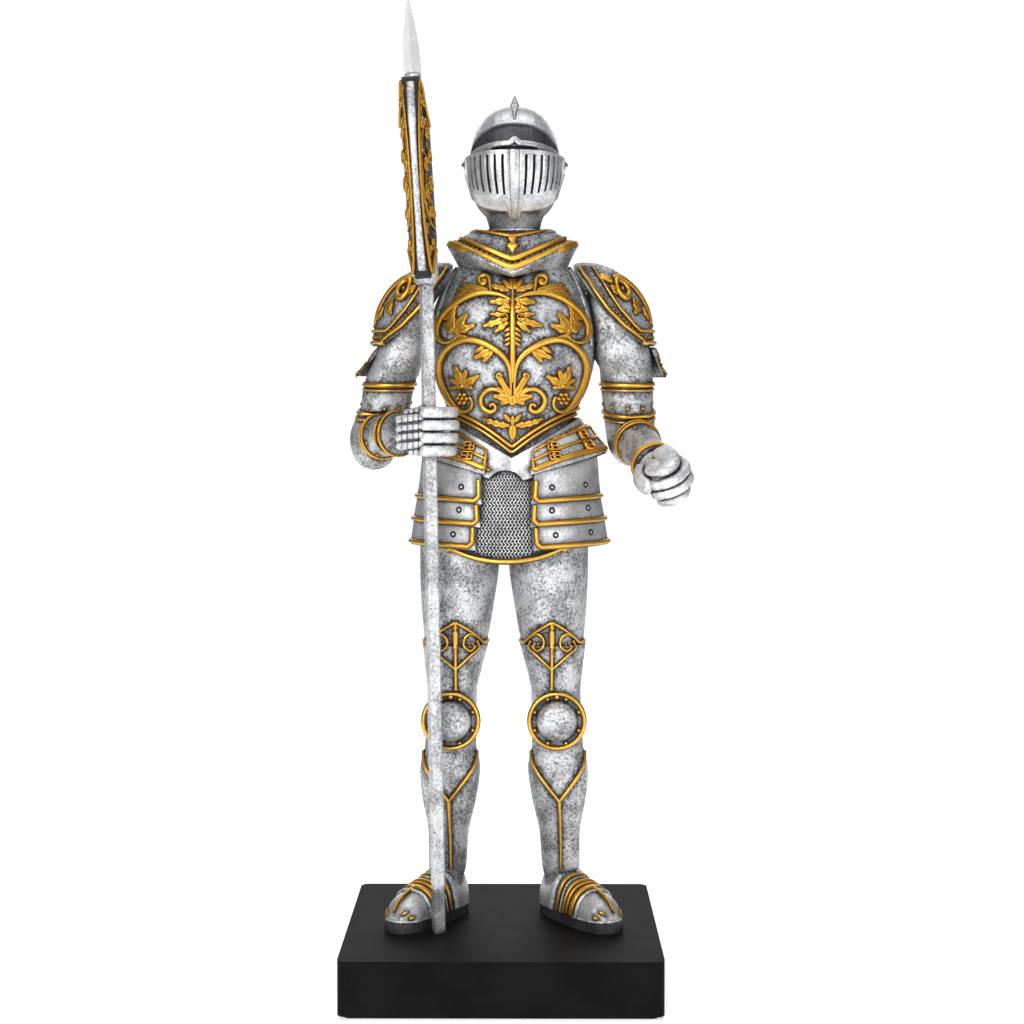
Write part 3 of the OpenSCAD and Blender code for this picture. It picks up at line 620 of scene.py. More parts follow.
def curve(points, step=0.55):
    """A smooth path through the points."""
    points = [points[0], *points, points[-1]]
    path = []
    for p0, p1, p2, p3 in zip(points, points[1:], points[2:], points[3:]):
        count = max(2, int(math.dist(p1, p2) / step))
        for k in range(count):
            t = k / count
            path.append(tuple(
                0.5 * (2 * b + (c - a) * t + (2 * a - 5 * b + 4 * c - d) * t * t + (3 * b - a - 3 * c + d) * t ** 3)
                for a, b, c, d in zip(p0, p1, p2, p3)))
    return path + [points[-1]]


def spiral(centre, radius, start, turns, inner=0.25, steps=None):
    """Winds inwards from the radius; start is in degrees, and negative turns go clockwise."""
    count = steps or max(10, int(abs(turns) * 18))
    path = []
    for k in range(count + 1):
        t = k / count
        r = radius * (1 + (inner - 1) * t)
        a = math.radians(start) + 2 * math.pi * turns * t
        path.append((centre[0] + r * math.cos(a), centre[1] + r * math.sin(a)))
    return path


def lens(t):
    return max(0.04, math.sin(math.pi * min(max(t, 0.0), 1.0)) ** 0.5)


def taper(t):
    return 0.35 + 0.65 * min(1.0, 4 * t, 4 * (1 - t) + 0.1)


def even(t):
    return 1.0


class Relief:
    """Strokes on one chart, gathered into one piece."""

    def __init__(self, chart, mirror=None):
        self.chart, self.mirror = chart, mirror
        self.verts, self.faces, self.crest = [], [], []

    def both(self, path):
        """The path, and its mirror image if this relief has a middle line."""
        yield path
        if self.mirror is not None:
            yield [(2 * self.mirror - u, v) for u, v in path]

    def ring_of(self, u, v, across_u, across_v, width, height, across, groove):
        start = len(self.verts)
        for j in range(across + 1):
            s = 2 * j / across - 1
            point, normal = self.chart.at(u + across_u * width / 2 * s, v + across_v * width / 2 * s)
            rise = height * math.sqrt(max(0.0, 1 - s * s)) * (1 - groove * math.exp(-(s / 0.22) ** 2))
            self.verts.append(point + normal * (rise - 0.06))
            self.crest.append(1 - abs(s) ** 2.2 - groove * math.exp(-(s / 0.2) ** 2))
        return start

    def strip(self, path, width, height, shape=even, closed=False, across=6, groove=0.0, once=False):
        for line in ([path] if once else self.both(path)):
            starts = []
            count = len(line)
            for i, (u, v) in enumerate(line):
                a = line[i - 1] if (i or closed) else line[0]
                b = line[(i + 1) % count] if (i + 1 < count or closed) else line[-1]
                du, dv = b[0] - a[0], b[1] - a[1]
                length = math.hypot(du, dv) or 1.0
                size = shape(i / (count - 1))
                starts.append(self.ring_of(u, v, -dv / length, du / length, width * size,
                                           height * (0.35 + 0.65 * min(size, 1)), across, groove))
            ring = across + 1
            pairs = list(zip(starts, starts[1:])) + ([(starts[-1], starts[0])] if closed else [])
            for a, b in pairs:
                for j in range(ring):
                    k = (j + 1) % ring
                    self.faces.append((a + j, a + k, b + k, b + j))
            if not closed:
                self.faces.append(tuple(starts[0] + j for j in range(ring)))
                self.faces.append(tuple(starts[-1] + j for j in reversed(range(ring))))

    def leaf(self, u, v, degrees, length, width, height=0.55, bend=0.0, lobes=0, once=False):
        """A leaf with a vein, from its foot; lobes scallop its edge."""
        a = math.radians(degrees)
        path = []
        count = max(8, int(length / 0.42))
        for k in range(count + 1):
            t = k / count
            side = bend * length * t * t
            path.append((u + math.cos(a) * length * t - math.sin(a) * side,
                         v + math.sin(a) * length * t + math.cos(a) * side))

        def outline(t):
            return lens(t ** 0.8) * (1 + 0.24 * math.cos(2 * math.pi * lobes * t) * bool(lobes))

        self.strip(path, width, height, outline, groove=0.45, once=once)

    def bead(self, u, v, radius, height=None, once=False):
        height = height or radius * 0.8
        for (cu, cv), in (self.both([(u, v)]) if not once else [[(u, v)]]):
            rows = []
            for ring in range(4):
                r = radius * math.cos(ring * math.pi / 6) if ring < 3 else 0.0
                rise = height * math.sin(ring * math.pi / 6)
                rows.append(len(self.verts))
                for k in range(10 if ring < 3 else 1):
                    turn = k * math.pi / 5
                    point, normal = self.chart.at(cu + r * math.cos(turn), cv + r * math.sin(turn))
                    self.verts.append(point + normal * (rise - 0.05))
                    self.crest.append(ring / 3)
            for a, b in zip(rows[:2], rows[1:3]):
                for k in range(10):
                    self.faces.append((a + k, a + (k + 1) % 10, b + (k + 1) % 10, b + k))
            for k in range(10):
                self.faces.append((rows[2] + k, rows[2] + (k + 1) % 10, rows[3]))
            self.faces.append(tuple(rows[0] + k for k in reversed(range(10))))

    def scroll(self, points, centre, radius, start, turns, width, height=0.6, once=False):
        """A stem through the points that ends in a spiral with a bead in its eye."""
        path = curve(points) + spiral(centre, radius, start, turns)
        self.strip(path, width, height, lambda t: 0.55 + 0.45 * math.sin(math.pi * t) ** 0.5, once=once)
        self.bead(*centre, radius * 0.36, once=once)

    def piece(self, name, body="figure", slot="gold_relief", material=None, replaces=()):
        crest = [max(0.0, min(1.0, c)) for c in self.crest]
        made = finish(name, self.verts, self.faces, material or GOLD, body, slot, replaces, {"crest": crest})
        print(f"{name}: {len(self.faces)} faces")
        return made


# %% [markdown]
# ## The breastplate's leaf scrolls
# The breastplate is the richest plate: vines that curl up from the waist and spread over
# the chest, with a leaf motif in the middle. Everything but the middle stem is mirrored, so
# only one side is drawn. Heights are measured from the plinth's underside.

# %% Breastplate
CHEST_X = 3.4
chest = FlatChart([plates["trunk"], plates["back"]])


def breast_scrolls(chart, name):
    g = Relief(chart, mirror=CHEST_X)

    def at(*pairs):
        return [(CHEST_X + du, v) for du, v in pairs]

    def leaves(*rows):
        """Each row: foot across, foot height, direction, length, width, lobes."""
        for du, v, turn, long, wide, lobes in rows:
            g.leaf(CHEST_X + du, v, turn, long, wide * 1.15, 0.85, lobes=lobes, once=du == 0)

    # Heart-shaped vines from the waist, and the vines under the collar.
    g.strip(curve(at((0.6, 190), (0.6, 194.3), (1.2, 199.2), (3.2, 202.6), (7.1, 205.4), (11, 207.1), (14.9, 207.6),
                     (18.8, 206.3), (22.0, 203.4), (23.7, 199.4), (23.5, 195.4), (22.0, 191.2), (19.6, 187.4),
                     (16.6, 184.9), (13.9, 185.3), (12.9, 187.6), (13.8, 189.6))), 2.5, 1.2, taper)
    g.strip(curve(at((0.6, 220.2), (2.4, 221.2), (5.1, 222.1), (10, 222.6), (14.9, 221.2), (18.8, 218.9),
                     (22.0, 216.2), (24.2, 212.6), (24.2, 209), (22.0, 207), (19.6, 207.2), (17.8, 208.4))),
            2.3, 1.2, taper)
    # Curls and fronds that spring from the upper vines.
    g.strip(curve(at((6.4, 221.8), (7.2, 224.2), (7.4, 226.2))) + spiral((CHEST_X + 9.4, 226.6), 2.0, 170, -1.2),
            1.6, 0.9, taper)
    g.bead(CHEST_X + 9.4, 226.6, 0.9)
    leaves((7.6, 223.2, 14, 9.4, 2.2, 0), (9.6, 223.4, 3, 8.2, 2.2, 0), (12, 223, -8, 6.4, 2.0, 0),
           (14.6, 222.2, -22, 5, 1.8, 0), (17.4, 220, -52, 7.6, 2.6, 2), (18.4, 217.6, -66, 6.2, 2.0, 0))
    # Crown over the middle stem.
    leaves((0, 223.4, 90, 5, 3.4, 1), (0.6, 223.8, 48, 4.2, 1.9, 0), (1, 223.2, 16, 7.2, 2.0, 3),
           (0.8, 220, -4, 6.8, 2.4, 2), (0.8, 219, -28, 4.8, 1.9, 1), (0.5, 217.2, 36, 4.2, 1.5, 0),
           (0.5, 216.4, 8, 4.4, 1.4, 0))
    g.strip(at(*[(0, v) for v in np.linspace(224, 194, 60)]), 2.4, 1.1, taper, once=True)
    # Ringed wings in the middle.
    leaves((1.4, 214.2, -16, 8.6, 2.6, 3), (1.2, 213.4, -38, 5.8, 2.0, 2), (2, 215.4, 4, 5.4, 1.6, 2))
    g.strip(spiral((CHEST_X + 2.7, 214.6), 1.15, 0, 1, inner=1.0, steps=16)[:-1], 0.7, 1.3, closed=True)
    for k in range(4):
        leaves((0.4, 211.4 - 1.5 * k, -30, 2.7, 1.1, 0))
    # Broad five-pointed leaves.
    leaves((18.9, 210.2, 126, 7.6, 3.0, 2), (18.9, 210.2, 163, 7.2, 2.9, 2), (19.2, 210.4, 92, 5.6, 2.4, 1),
           (19.2, 210, 48, 4.6, 2.2, 1), (18.6, 209.4, 196, 4.4, 2.0, 1))
    # A shoot inside each half of the heart.
    leaves((5.6, 204.8, -24, 7.6, 3.0, 2), (6.4, 204, -50, 4.8, 2.0, 1), (9, 205.6, -34, 4, 1.6, 0))
    # Flower and seed head on each flank.
    leaves((16.1, 192.9, 70, 7.0, 2.6, 2), (16.1, 192.9, 104, 5.4, 2.2, 1), (16.1, 192.9, 148, 6.4, 2.7, 2),
           (16.1, 192.9, 30, 4.8, 2.0, 1), (16.1, 192.9, -10, 4.2, 1.8, 1), (16.1, 192.9, 190, 3.6, 1.8, 1))
    g.bead(CHEST_X + 16.1, 192.9, 1.0, 1.2)
    for k in range(7):
        turn = 2 * math.pi * k / 6
        reach = 1.5 if k else 0
        g.bead(CHEST_X + 16.2 + reach * math.cos(turn), 188.9 + reach * math.sin(turn), 0.85, 1.0)
    # Palmette at the root of the vines.
    leaves((0.6, 189.4, 60, 8.0, 2.9, 1), (0.6, 189.2, 34, 6.0, 2.4, 1), (0.6, 189, 8, 6.0, 2.6, 2),
           (0, 190, -90, 3.4, 3.6, 0), (0.6, 188.6, -22, 3.8, 2.0, 0))
    g.strip(spiral((CHEST_X + 4.0, 196.2), 1.25, 270, 0.9), 1.0, 1.0, taper)
    g.bead(CHEST_X + 4.0, 196.2, 0.6, 0.9)
    g.strip(curve(at((2.0, 189.8), (5.1, 191.8), (8, 191.6), (10.1, 189.2), (9.6, 186.2), (7.3, 184.7), (5.5, 185.6),
                     (6.0, 187.2), (7.3, 187))), 2.0, 1.1, taper)
    g.bead(CHEST_X + 7.0, 186.8, 0.8, 1.0)
    # Fleur at the waist's point.
    g.leaf(CHEST_X + 0.8, 180.4, 0, 9.0, 2.7, 0.9, bend=0.26, lobes=4)
    leaves((0.4, 181.4, 48, 3.6, 1.5, 0), (0, 180.6, -90, 5.0, 3.0, 0), (0, 180.2, 90, 3.4, 1.4, 0))
    g.piece(name)


breast_scrolls(chest, "breastplate_scrolls")
breast_scrolls(FlatChart([plates["trunk"], plates["back"]], aim=(0, -1, 0)), "backplate_scrolls")

# %% [markdown]
# Two gold lines run round the waist and dip to a point in front. Thin silver lines edge the
# collar and the arm openings.

# %% Waist borders and arm openings
waist_chart = RoundChart([plates["trunk"], plates["back"]], (3.2, 4.6, 0), 188)


def dip(degrees):
    """1 at the front and the back of the body, 0 at its sides."""
    return 1 - abs(math.sin(math.radians(degrees)))


waist = Relief(waist_chart)
for lift in (-0.7, 1.2):
    waist.strip([(waist_chart.u(d), 184.6 + lift - 12.3 * dip(d)) for d in np.linspace(-88, 88, 60)], 1.5, 0.95)
    for way in (-1, 1):
        waist.strip([(waist_chart.u(way * d), 184.6 + lift) for d in np.linspace(88, 179, 40)], 1.35, 0.85)
waist.piece("waist_border")

silver_lines = Relief(chest, mirror=CHEST_X)
silver_lines.strip(curve([(CHEST_X, 229.2), (CHEST_X + 8, 230), (CHEST_X + 17, 232.6)]), 0.7, 0.6)
silver_lines.strip(curve([(CHEST_X + 18.4, 231.6), (CHEST_X + 21.6, 224), (CHEST_X + 24.4, 214),
                          (CHEST_X + 25.2, 206)]), 0.9, 0.7)
silver_lines.piece("breastplate_edges", slot="silver_plate", material=SHAFT)

# %% [markdown]
# ## Gorget
# The gorget's two gold lines follow its V-shaped rim, with a row of dots between them. The
# rim slopes, so this chart falls straight down.

# %% Gorget
GORGET = (3.3, 4.4)
collar_chart = FlatChart([plates["gorget_plate"], plates["gorget_collar"]], aim=(0, 0, -1))


def oval(rx, front, back, count=96, start=-180, end=180):
    """Plan view of a ring round the neck; 0 degrees is the front."""
    return [(GORGET[0] + rx * math.sin(math.radians(d)),
             GORGET[1] - (front if abs(d) < 90 else back) * math.cos(math.radians(d)))
            for d in np.linspace(start, end, count)]


gorget = Relief(collar_chart)
gorget.strip(oval(20.6, 15.5, 14.2)[:-1], 1.5, 0.9, closed=True)
gorget.strip(oval(17.3, 12.7, 12.0)[:-1], 1.2, 0.8, closed=True)
gorget.strip(oval(12.7, 9.4, 9.4)[:-1], 1.0, 0.7, closed=True)
for u, v in oval(18.9, 14.1, 13.1, 64)[:-1]:
    gorget.bead(u, v, 0.5)


def pendant(t):
    """Half width of the arrow-shaped pendant, from the collar down."""
    return np.interp(t, (0, 0.22, 0.4, 0.5, 0.62, 0.68, 1), (0.75, 0.7, 0.42, 0.5, 1.0, 0.92, 0.05))


gorget.strip([(GORGET[0], GORGET[1] - 9.4 - 0.145 * k) for k in range(18)], 5.4, 0.9, pendant, groove=0.2)
gorget.piece("gorget_borders")

# %% [markdown]
# ## Tassets, fauld and belts
# Each tasset lame has a gold L: down its front edge and along its hem. Ringed rivets sit on
# the plates. The belts are lattices of straps over the fauld.

# %% Tassets
TASSET_Z = (141.6, 149.0, 156.4, 165.6)
TASSET_DROP = (1.4, 1.4, 1.6, 4.0)


def hem_height(k, d, lift=0.0):
    """Height of tasset k's hem at a bearing; k + 1 is the hem of the next one up."""
    return TASSET_Z[k] + lift - TASSET_DROP[k] * dip(d)


def front_edge(plate, sign, low, high):
    """Bearing of a hip plate's front end between two heights, in degrees from the front."""
    return min(math.degrees(math.atan2(sign * (v.co.x / MM - HIP_X), HIP_Y - v.co.y / MM))
               for v in plate.data.vertices if low <= v.co.z / MM <= high)


TASSET_SLIDE = {"left_": (2.6, 3.4, 3.8), "right_": (-1.0, 0.8, 2.3)}
tasset_fronts = {}
for side, sign in SIDES:
    for k, name in enumerate(("lower", "middle", "upper")):
        plate = plates[side + "tasset_" + name]
        slide(plate, sign, TASSET_SLIDE[side][k])
        chart = RoundChart(plate, (HIP_X, HIP_Y, 0), (TASSET_Z[k] + TASSET_Z[k + 1]) / 2)
        g = Relief(chart)
        middle = (hem_height(k, 15) + hem_height(k + 1, 15)) / 2
        high_end = front_edge(plate, sign, middle, 200) + 2.6
        low_end = front_edge(plate, sign, 100, middle) + 2.6
        tasset_fronts[side + name] = low_end
        top, low = hem_height(k + 1, high_end, -0.4), hem_height(k, low_end, 1.6)
        down = [(chart.u(sign * (high_end + (low_end - high_end) * t)), top + (low - top) * t)
                for t in np.linspace(0, 1, 10)]
        along = [(chart.u(sign * d), hem_height(k, d, 0.85)) for d in np.linspace(low_end + 3.4, 174, 60)]
        g.strip(curve(down[:-1] + along[:1], 0.5)[:-1] + along, 1.8, 0.9)
        g.piece(side + "tasset_" + name + "_trim")
print("tasset fronts:", {k: round(v, 1) for k, v in tasset_fronts.items()})

# %% [markdown]
# A belt is three rails with straps between them. Each buckle is a small frame with a bar.
# The fauld's own border shows below the belts.

# %% Belts and fauld


def belt_height(d, w):
    """Height on the belt at a bearing; w is 0 at its lower edge and 1 at its upper."""
    return 171.9 + 8.7 * w - (9.8 + 2.5 * w) * dip(d)


belt_plates = {side: smooth_copy(side + "belt", material=SHAFT) for side, _ in SIDES}
slide(belt_plates["left_"], 1, 2.4)
slide(belt_plates["right_"], -1, 0.8)
belt_u = RoundChart(list(belt_plates.values()), (2.7, 4.2, 0), lambda d: belt_height(d, 0.5))
belts, frames = Relief(belt_u), Relief(belt_u)
BUCKLE = ((-1, -1), (0, -1), (1, -1), (1, 0), (1, 1), (0, 1), (-1, 1), (-1, 0))
for side, sign in SIDES:
    front = front_edge(belt_plates[side], sign, 0, 400) + 1.6
    for w, wide in ((0.1, 1.9), (0.5, 1.1), (0.9, 1.4)):
        belts.strip([(belt_u.u(sign * d), belt_height(d, w)) for d in np.linspace(front, 94, 40)], wide, 0.75)
    for d in (front, 39.2, 68.5, 93):
        belts.strip([(belt_u.u(sign * d), belt_height(d, w)) for w in np.linspace(0.06, 0.94, 12)], 1.6, 0.85)
    for d in (39.2, 68.5):
        for w in (0.28, 0.68):
            u, v = belt_u.u(sign * d), belt_height(d, w)
            frames.strip([(u + 1.5 * x, v + 1.2 * z) for x, z in BUCKLE], 0.8, 1.5, closed=True)
            frames.strip([(u - 1.5 + 0.3 * k, v) for k in range(11)], 0.6, 1.4)
belts.piece("belt_lattice")
frames.piece("belt_buckle_frames", replaces=["belt_buckles"])

fauld_chart = RoundChart(plates["fauld"], (2.6, 4.2, 0), lambda d: belt_height(d, 0.3))
fauld = Relief(fauld_chart)
for sign in (1, -1):
    fauld.strip([(fauld_chart.u(sign * d), 172.4 - 9.6 * dip(d)) for d in np.linspace(19, 178, 60)], 1.0, 0.6)
fauld.piece("fauld_border")

# %% [markdown]
# ## Legs
# The legs mirror one another, and their ornament lies on the front: a peaked border and a
# V over the knee, a stem with scrolls, the knee's ringed plate, and a Y down the greave.

# %% Legs
LEG_MID = 0.5


def leg_ornament(side, sign):
    centre = LEG_MID + sign * 15.6
    thigh = RoundChart([plates[side + "cuisse"], plates[side + "lower_cuisse"]], (centre, 4.2, 0), 108)
    g = Relief(thigh, mirror=0)
    g.strip(curve([(0, 116.8), (4, 114.4), (8, 111.6), (11, 109.8), (16, 109.6), (26, 110.2), (30, 110.4)]),
            1.25, 0.85)
    g.strip(curve([(0, 101.4), (2.8, 103.8), (5.6, 106.2), (8.6, 108.4), (7.6, 110.6)]), 1.0, 0.75)
    g.strip(curve([(7.4, 111.6), (4.8, 112.9), (2.9, 111.4), (2.9, 108.8), (5, 107.4), (6.6, 108.8), (5.6, 110)]),
            1.05, 0.75, taper)
    g.bead(4.9, 109.6, 0.55)
    g.strip([(0, v) for v in np.linspace(116.4, 95.2, 40)], 1.25, 0.85, once=True)
    for v, r in ((115.2, 1.0), (107.2, 0.85), (95, 0.9)):
        g.bead(0, v, r, 1.15, once=True)
    g.strip([(0, v) for v in np.linspace(114, 108.4, 12)], 2.1, 1.0, once=True)
    g.piece(side + "thigh_ornament")

    # Knee: a ringed plate with rivets and a bright boss.
    knee = FlatChart(plates[side + "poleyn"])
    x, z = LEG_MID + sign * 17.2, 84.4
    k = Relief(knee)
    outline = spiral((x, z), 8.85, 0, 1, inner=1.0, steps=64)[:-1]
    k.strip(outline, 1.3, 0.85, closed=True)
    for i in range(8):
        a = 2 * math.pi * (i + 0.5) / 8
        k.bead(x + 7.75 * math.cos(a), z + 7.75 * math.sin(a), 0.75, 0.8)
    k.bead(x, z + 7.9, 1.0, 1.0)
    k.piece(side + "knee_ring")

    calf_x = LEG_MID + sign * 18
    calf = RoundChart(plates[side + "greave"], (calf_x, 6, 0), 60)
    c = Relief(calf)
    for arm in (-1, 1):
        c.strip(curve([(arm * 11.4, 73.2), (arm * 9.8, 71), (arm * 5.4, 65), (0, 57.6)]), 1.4, 0.85)
    c.strip(curve([(0, 58), (0.4, 50), (0.8, 43), (1.0, 34.8)]), 1.5, 0.85)
    c.piece(side + "greave_ornament")


for side, sign in SIDES:
    leg_ornament(side, sign)

# %% [markdown]
# ## Pauldrons and arms
# The pauldrons are domes. Their borders follow the cut edge: two gold lines with a row of
# dots between them. A leaf scroll lies on the crown, and the loose wing below has a gold edge.

# %% Pauldrons
SHOULDER = (27, 6, 206)
SHOULDER_SIZE = (21.4, 15.2, 27.3)
EDGE_HEIGHTS = (0, 3, 6, 11, 16, 20, 23.6, 26, 27.2)
EDGE_ANGLES = (28, 46, 60, 74, 84, 92, 104, 122, 150)


def spaced(path, gap):
    """Points at even distances along a path."""
    run, points = 0.0, []
    for a, b in zip(path, path[1:]):
        length = math.dist(a, b)
        while run <= length and length > 0:
            t = run / length
            points.append((a[0] + (b[0] - a[0]) * t, a[1] + (b[1] - a[1]) * t))
            run += gap
        run -= length
    return points


def dome_point(h, degrees, way):
    k = math.sqrt(1 - (h / SHOULDER_SIZE[2]) ** 2)
    a = math.radians(degrees)
    return way * SHOULDER_SIZE[0] * k * math.cos(a), -SHOULDER_SIZE[1] * k * math.sin(a), h


def dome_edge(chart, inset, way):
    """The pauldron's cut edge, moved in from it: down the front, along the bottom and up the back."""
    down = []
    for h in np.linspace(24.6, inset, 26):
        k = math.sqrt(1 - (h / SHOULDER_SIZE[2]) ** 2)
        edge = np.interp(h, EDGE_HEIGHTS, EDGE_ANGLES) - math.degrees(inset / (18 * k))
        down.append((edge, h))
    last = down[-1][0]
    along = [(a, inset) for a in np.linspace(last, -last, 10)[1:-1]]
    up = [(-a, h) for a, h in reversed(down)]
    return curve([chart.uv(*dome_point(h, a, way)) for a, h in down + along + up], 0.6)


for side, way in SIDES:
    middle = (SHOULDER[0] if way > 0 else 7 - SHOULDER[0], *SHOULDER[1:])
    chart = BallChart(plates[side + "pauldron"], middle, 24, way)
    g = Relief(chart)
    g.strip(dome_edge(chart, 1.0, way), 1.9, 1.0)
    g.strip(dome_edge(chart, 4.6, way), 1.5, 0.9)
    for u, v in spaced(dome_edge(chart, 2.6, way), 1.9):
        g.bead(u, v, 0.55)
    for front in (1, -1):
        def on(a, h):
            return chart.uv(*dome_point(h, front * a, way))

        eye = on(47, 17.6)
        g.strip(spiral(eye, 3.3, 0, 1, inner=1.0, steps=26)[:-1], 2.9, 1.4, closed=True)
        g.bead(*eye, 0.8, 1.0)
        g.strip(curve([on(72, 21.4), on(67, 21.2), on(61, 20.4), on(56, 19.6)]), 3.2, 1.2, taper)
        g.strip(curve([on(50, 21.6), on(34, 21.2), on(21, 18.4), on(13, 14), on(10, 9.6), on(12, 6.6)]),
                3.6, 1.2, taper)
        for a, h, turn, long in ((36, 14.6, 280, 5.4), (30, 13.6, 318, 6), (24, 12, 250, 5), (62, 18.4, 232, 4.4)):
            u, v = on(a, h)
            g.leaf(u, v, turn if front > 0 else 180 - turn, long, 3.4, 1.1, lobes=2)
    for h in (9, 5.6):
        u, v = chart.uv(*dome_point(h, 0, way))
        g.leaf(u, v, 90, 6.4, 2.6, 0.8, lobes=2)
    g.piece(side + "pauldron_ornament")

# %% [markdown]
# ## Bands on the arms
# Each arm has raised gold bands at its joints. They wrap round an axis that runs along the
# limb, so a chart is made for each stretch of arm.

# %% Arm bands
ELBOW = {"left_": Vector((42, 8.4, 177.5)), "right_": Vector((-42.6, 10.4, 176))}
WRIST = {"left_": Vector((47.8, -15.6, 168.6)), "right_": Vector((-34.6, -8.8, 177.6))}
FIST = {"left_": Vector((51.8, -31, 163)), "right_": Vector((-22, -25.4, 178.6))}


def middle_of(node):
    low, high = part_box(node)
    return [(a + b) / 2 / MM for a, b in zip(low, high)]


def band(relief, chart, v, width=1.3, height=0.8, tilt=0.0):
    relief.strip([(chart.u(d), v + tilt * math.cos(math.radians(d))) for d in np.linspace(-180, 180, 73)[:-1]],
                 width, height, closed=True)


for side, way in SIDES:
    x, y, _ = middle_of(side + "rerebrace")
    upper = RoundChart([plates[side + "rerebrace"], plates[side + "couter"]], (x + 2.4 * way, y, 0), 190)
    g = Relief(upper)
    band(g, upper, 193.6, 1.7, 0.8, -0.5)
    band(g, upper, 191.9, 0.9, 0.6, -0.5)
    band(g, upper, 184.4, 1.5, 0.85, -1.6)
    band(g, upper, 182.5, 0.9, 0.6, -1.6)
    for d in range(-170, 180, 40):
        g.bead(upper.u(d), 187.0 - 1.6 * math.cos(math.radians(d)), 0.7)
    wing = RoundChart(plates[side + "pauldron_wing"], (x, y, 0), middle_of(side + "pauldron_wing")[2])
    g.piece(side + "arm_bands")

    # The wing below the pauldron has a gold edge all round.
    w = Relief(wing)
    base = min(vertex.co.z for vertex in plates[side + "pauldron_wing"].data.vertices) / MM
    rim = [(way * d, base + 1.0 + 0.9 * abs(d - 90) / 60) for d in np.linspace(34, 146, 30)]
    w.strip([(wing.u(d), v) for d, v in rim], 1.4, 0.8)
    w.strip([(wing.u(d), v + 3.0) for d, v in rim], 0.8, 0.6)
    w.leaf(wing.u(way * 90), base + 5, 90, 5, 2.6, 0.7, lobes=2)
    w.piece(side + "wing_ornament")

    fore = RoundChart([plates[side + "couter"], plates[side + "vambrace"]], ELBOW[side], 12,
                      axis=WRIST[side] - ELBOW[side], front=(0, 0, 1))
    f = Relief(fore)
    band(f, fore, 9.4, 1.3, 0.8)
    band(f, fore, 7.6, 0.8, 0.6)
    for d in range(-160, 180, 45):
        f.bead(fore.u(d), 12, 0.7)
    f.piece(side + "forearm_bands")

    cuff = smooth_copy(side + "cuff")
    ring = RoundChart(cuff, WRIST[side], 1.2, axis=FIST[side] - ELBOW[side], front=(0, 0, 1))
    c = Relief(ring)
    band(c, ring, -0.9, 1.5, 0.9)
    band(c, ring, 2.2, 1.5, 0.9)
    c.piece(side + "cuff_rings")

# %% [markdown]
# ## Hands
# Steel gauntlets close into fists. Every finger is a roll that bends round the fist, waisted
# at its joints, with a dark gap to the next. The back of the right hand is covered in
# small square scales. The fist's own casting from the frame stays below, with the hole
# for the halberd's shaft.

# %% Fingers
BUTT = Vector((-20.1, -16, 18.1))
SHAFT_AXIS = Vector((-0.018065, -0.006229, 0.999817))


def finger(frame_of, path, across, deep, joints=()):
    """A roll through path, whose points are (sideways, along) in one plane of the fist."""
    line = curve(path, 0.7)
    verts, faces, sides = [], [], 14
    for i, point in enumerate(line):
        a, b = line[max(i - 1, 0)], line[min(i + 1, len(line) - 1)]
        along = math.hypot(b[0] - a[0], b[1] - a[1]) or 1
        nx, ny = (b[1] - a[1]) / along, -(b[0] - a[0]) / along
        t = i / (len(line) - 1)
        size = min(1.0, (math.sin(math.pi * min(t, 1 - t) * 4) if min(t, 1 - t) < 0.125 else 1.0) + 0.12)
        size *= 1 - sum(0.13 * math.exp(-((t - j) / 0.022) ** 2) for j in joints)
        for k in range(sides):
            c = 2 * math.pi * k / sides
            s1 = math.copysign(abs(math.cos(c)) ** 0.75, math.cos(c)) * deep * size
            s2 = math.copysign(abs(math.sin(c)) ** 0.75, math.sin(c)) * across * size
            verts.append(frame_of(point[0] + nx * s1, point[1] + ny * s1, s2))
    rows = len(line)
    for i in range(rows - 1):
        for k in range(sides):
            n = (k + 1) % sides
            faces.append((i * sides + k, i * sides + n, (i + 1) * sides + n, (i + 1) * sides + k))
    faces.append(tuple(range(sides)))
    faces.append(tuple((rows - 1) * sides + k for k in reversed(range(sides))))
    return verts, faces


def gather(parts):
    verts, faces = [], []
    for v, f in parts:
        faces += [tuple(i + len(verts) for i in face) for face in f]
        verts += v
    return verts, faces


def shrink(piece, by_mm, where):
    """Draws a casting's skin inwards where asked, to leave room for the rolls on it."""
    moved = [(v, v.normal.copy()) for v in piece.data.vertices if where(v.co / MM)]
    for vertex, normal in moved:
        vertex.co -= normal * by_mm * MM


def closest(p, start, aim):
    return start + aim * (p - start).dot(aim)


# %% [markdown]
# The right hand grips the shaft. Its four fingers lie one above the other round the fist,
# the thumb closes it, and rows of small domed scales cover its back.

# %% Right hand
PALM = Vector((-24.2, -19.2, 178.6))
hand_turn = Matrix.Rotation(math.radians(-6), 3, "Z")
FINGER_PITCH = 3.95
right_fist = smooth_copy("right_gauntlet", material=HAND, levels=1)
shrink(right_fist, 1.3, lambda p: (p - closest(p, BUTT, SHAFT_AXIS)).length > 3.1)


def right_frame(height):
    return lambda x, y, z: PALM + hand_turn @ Vector((x, y, z + height))


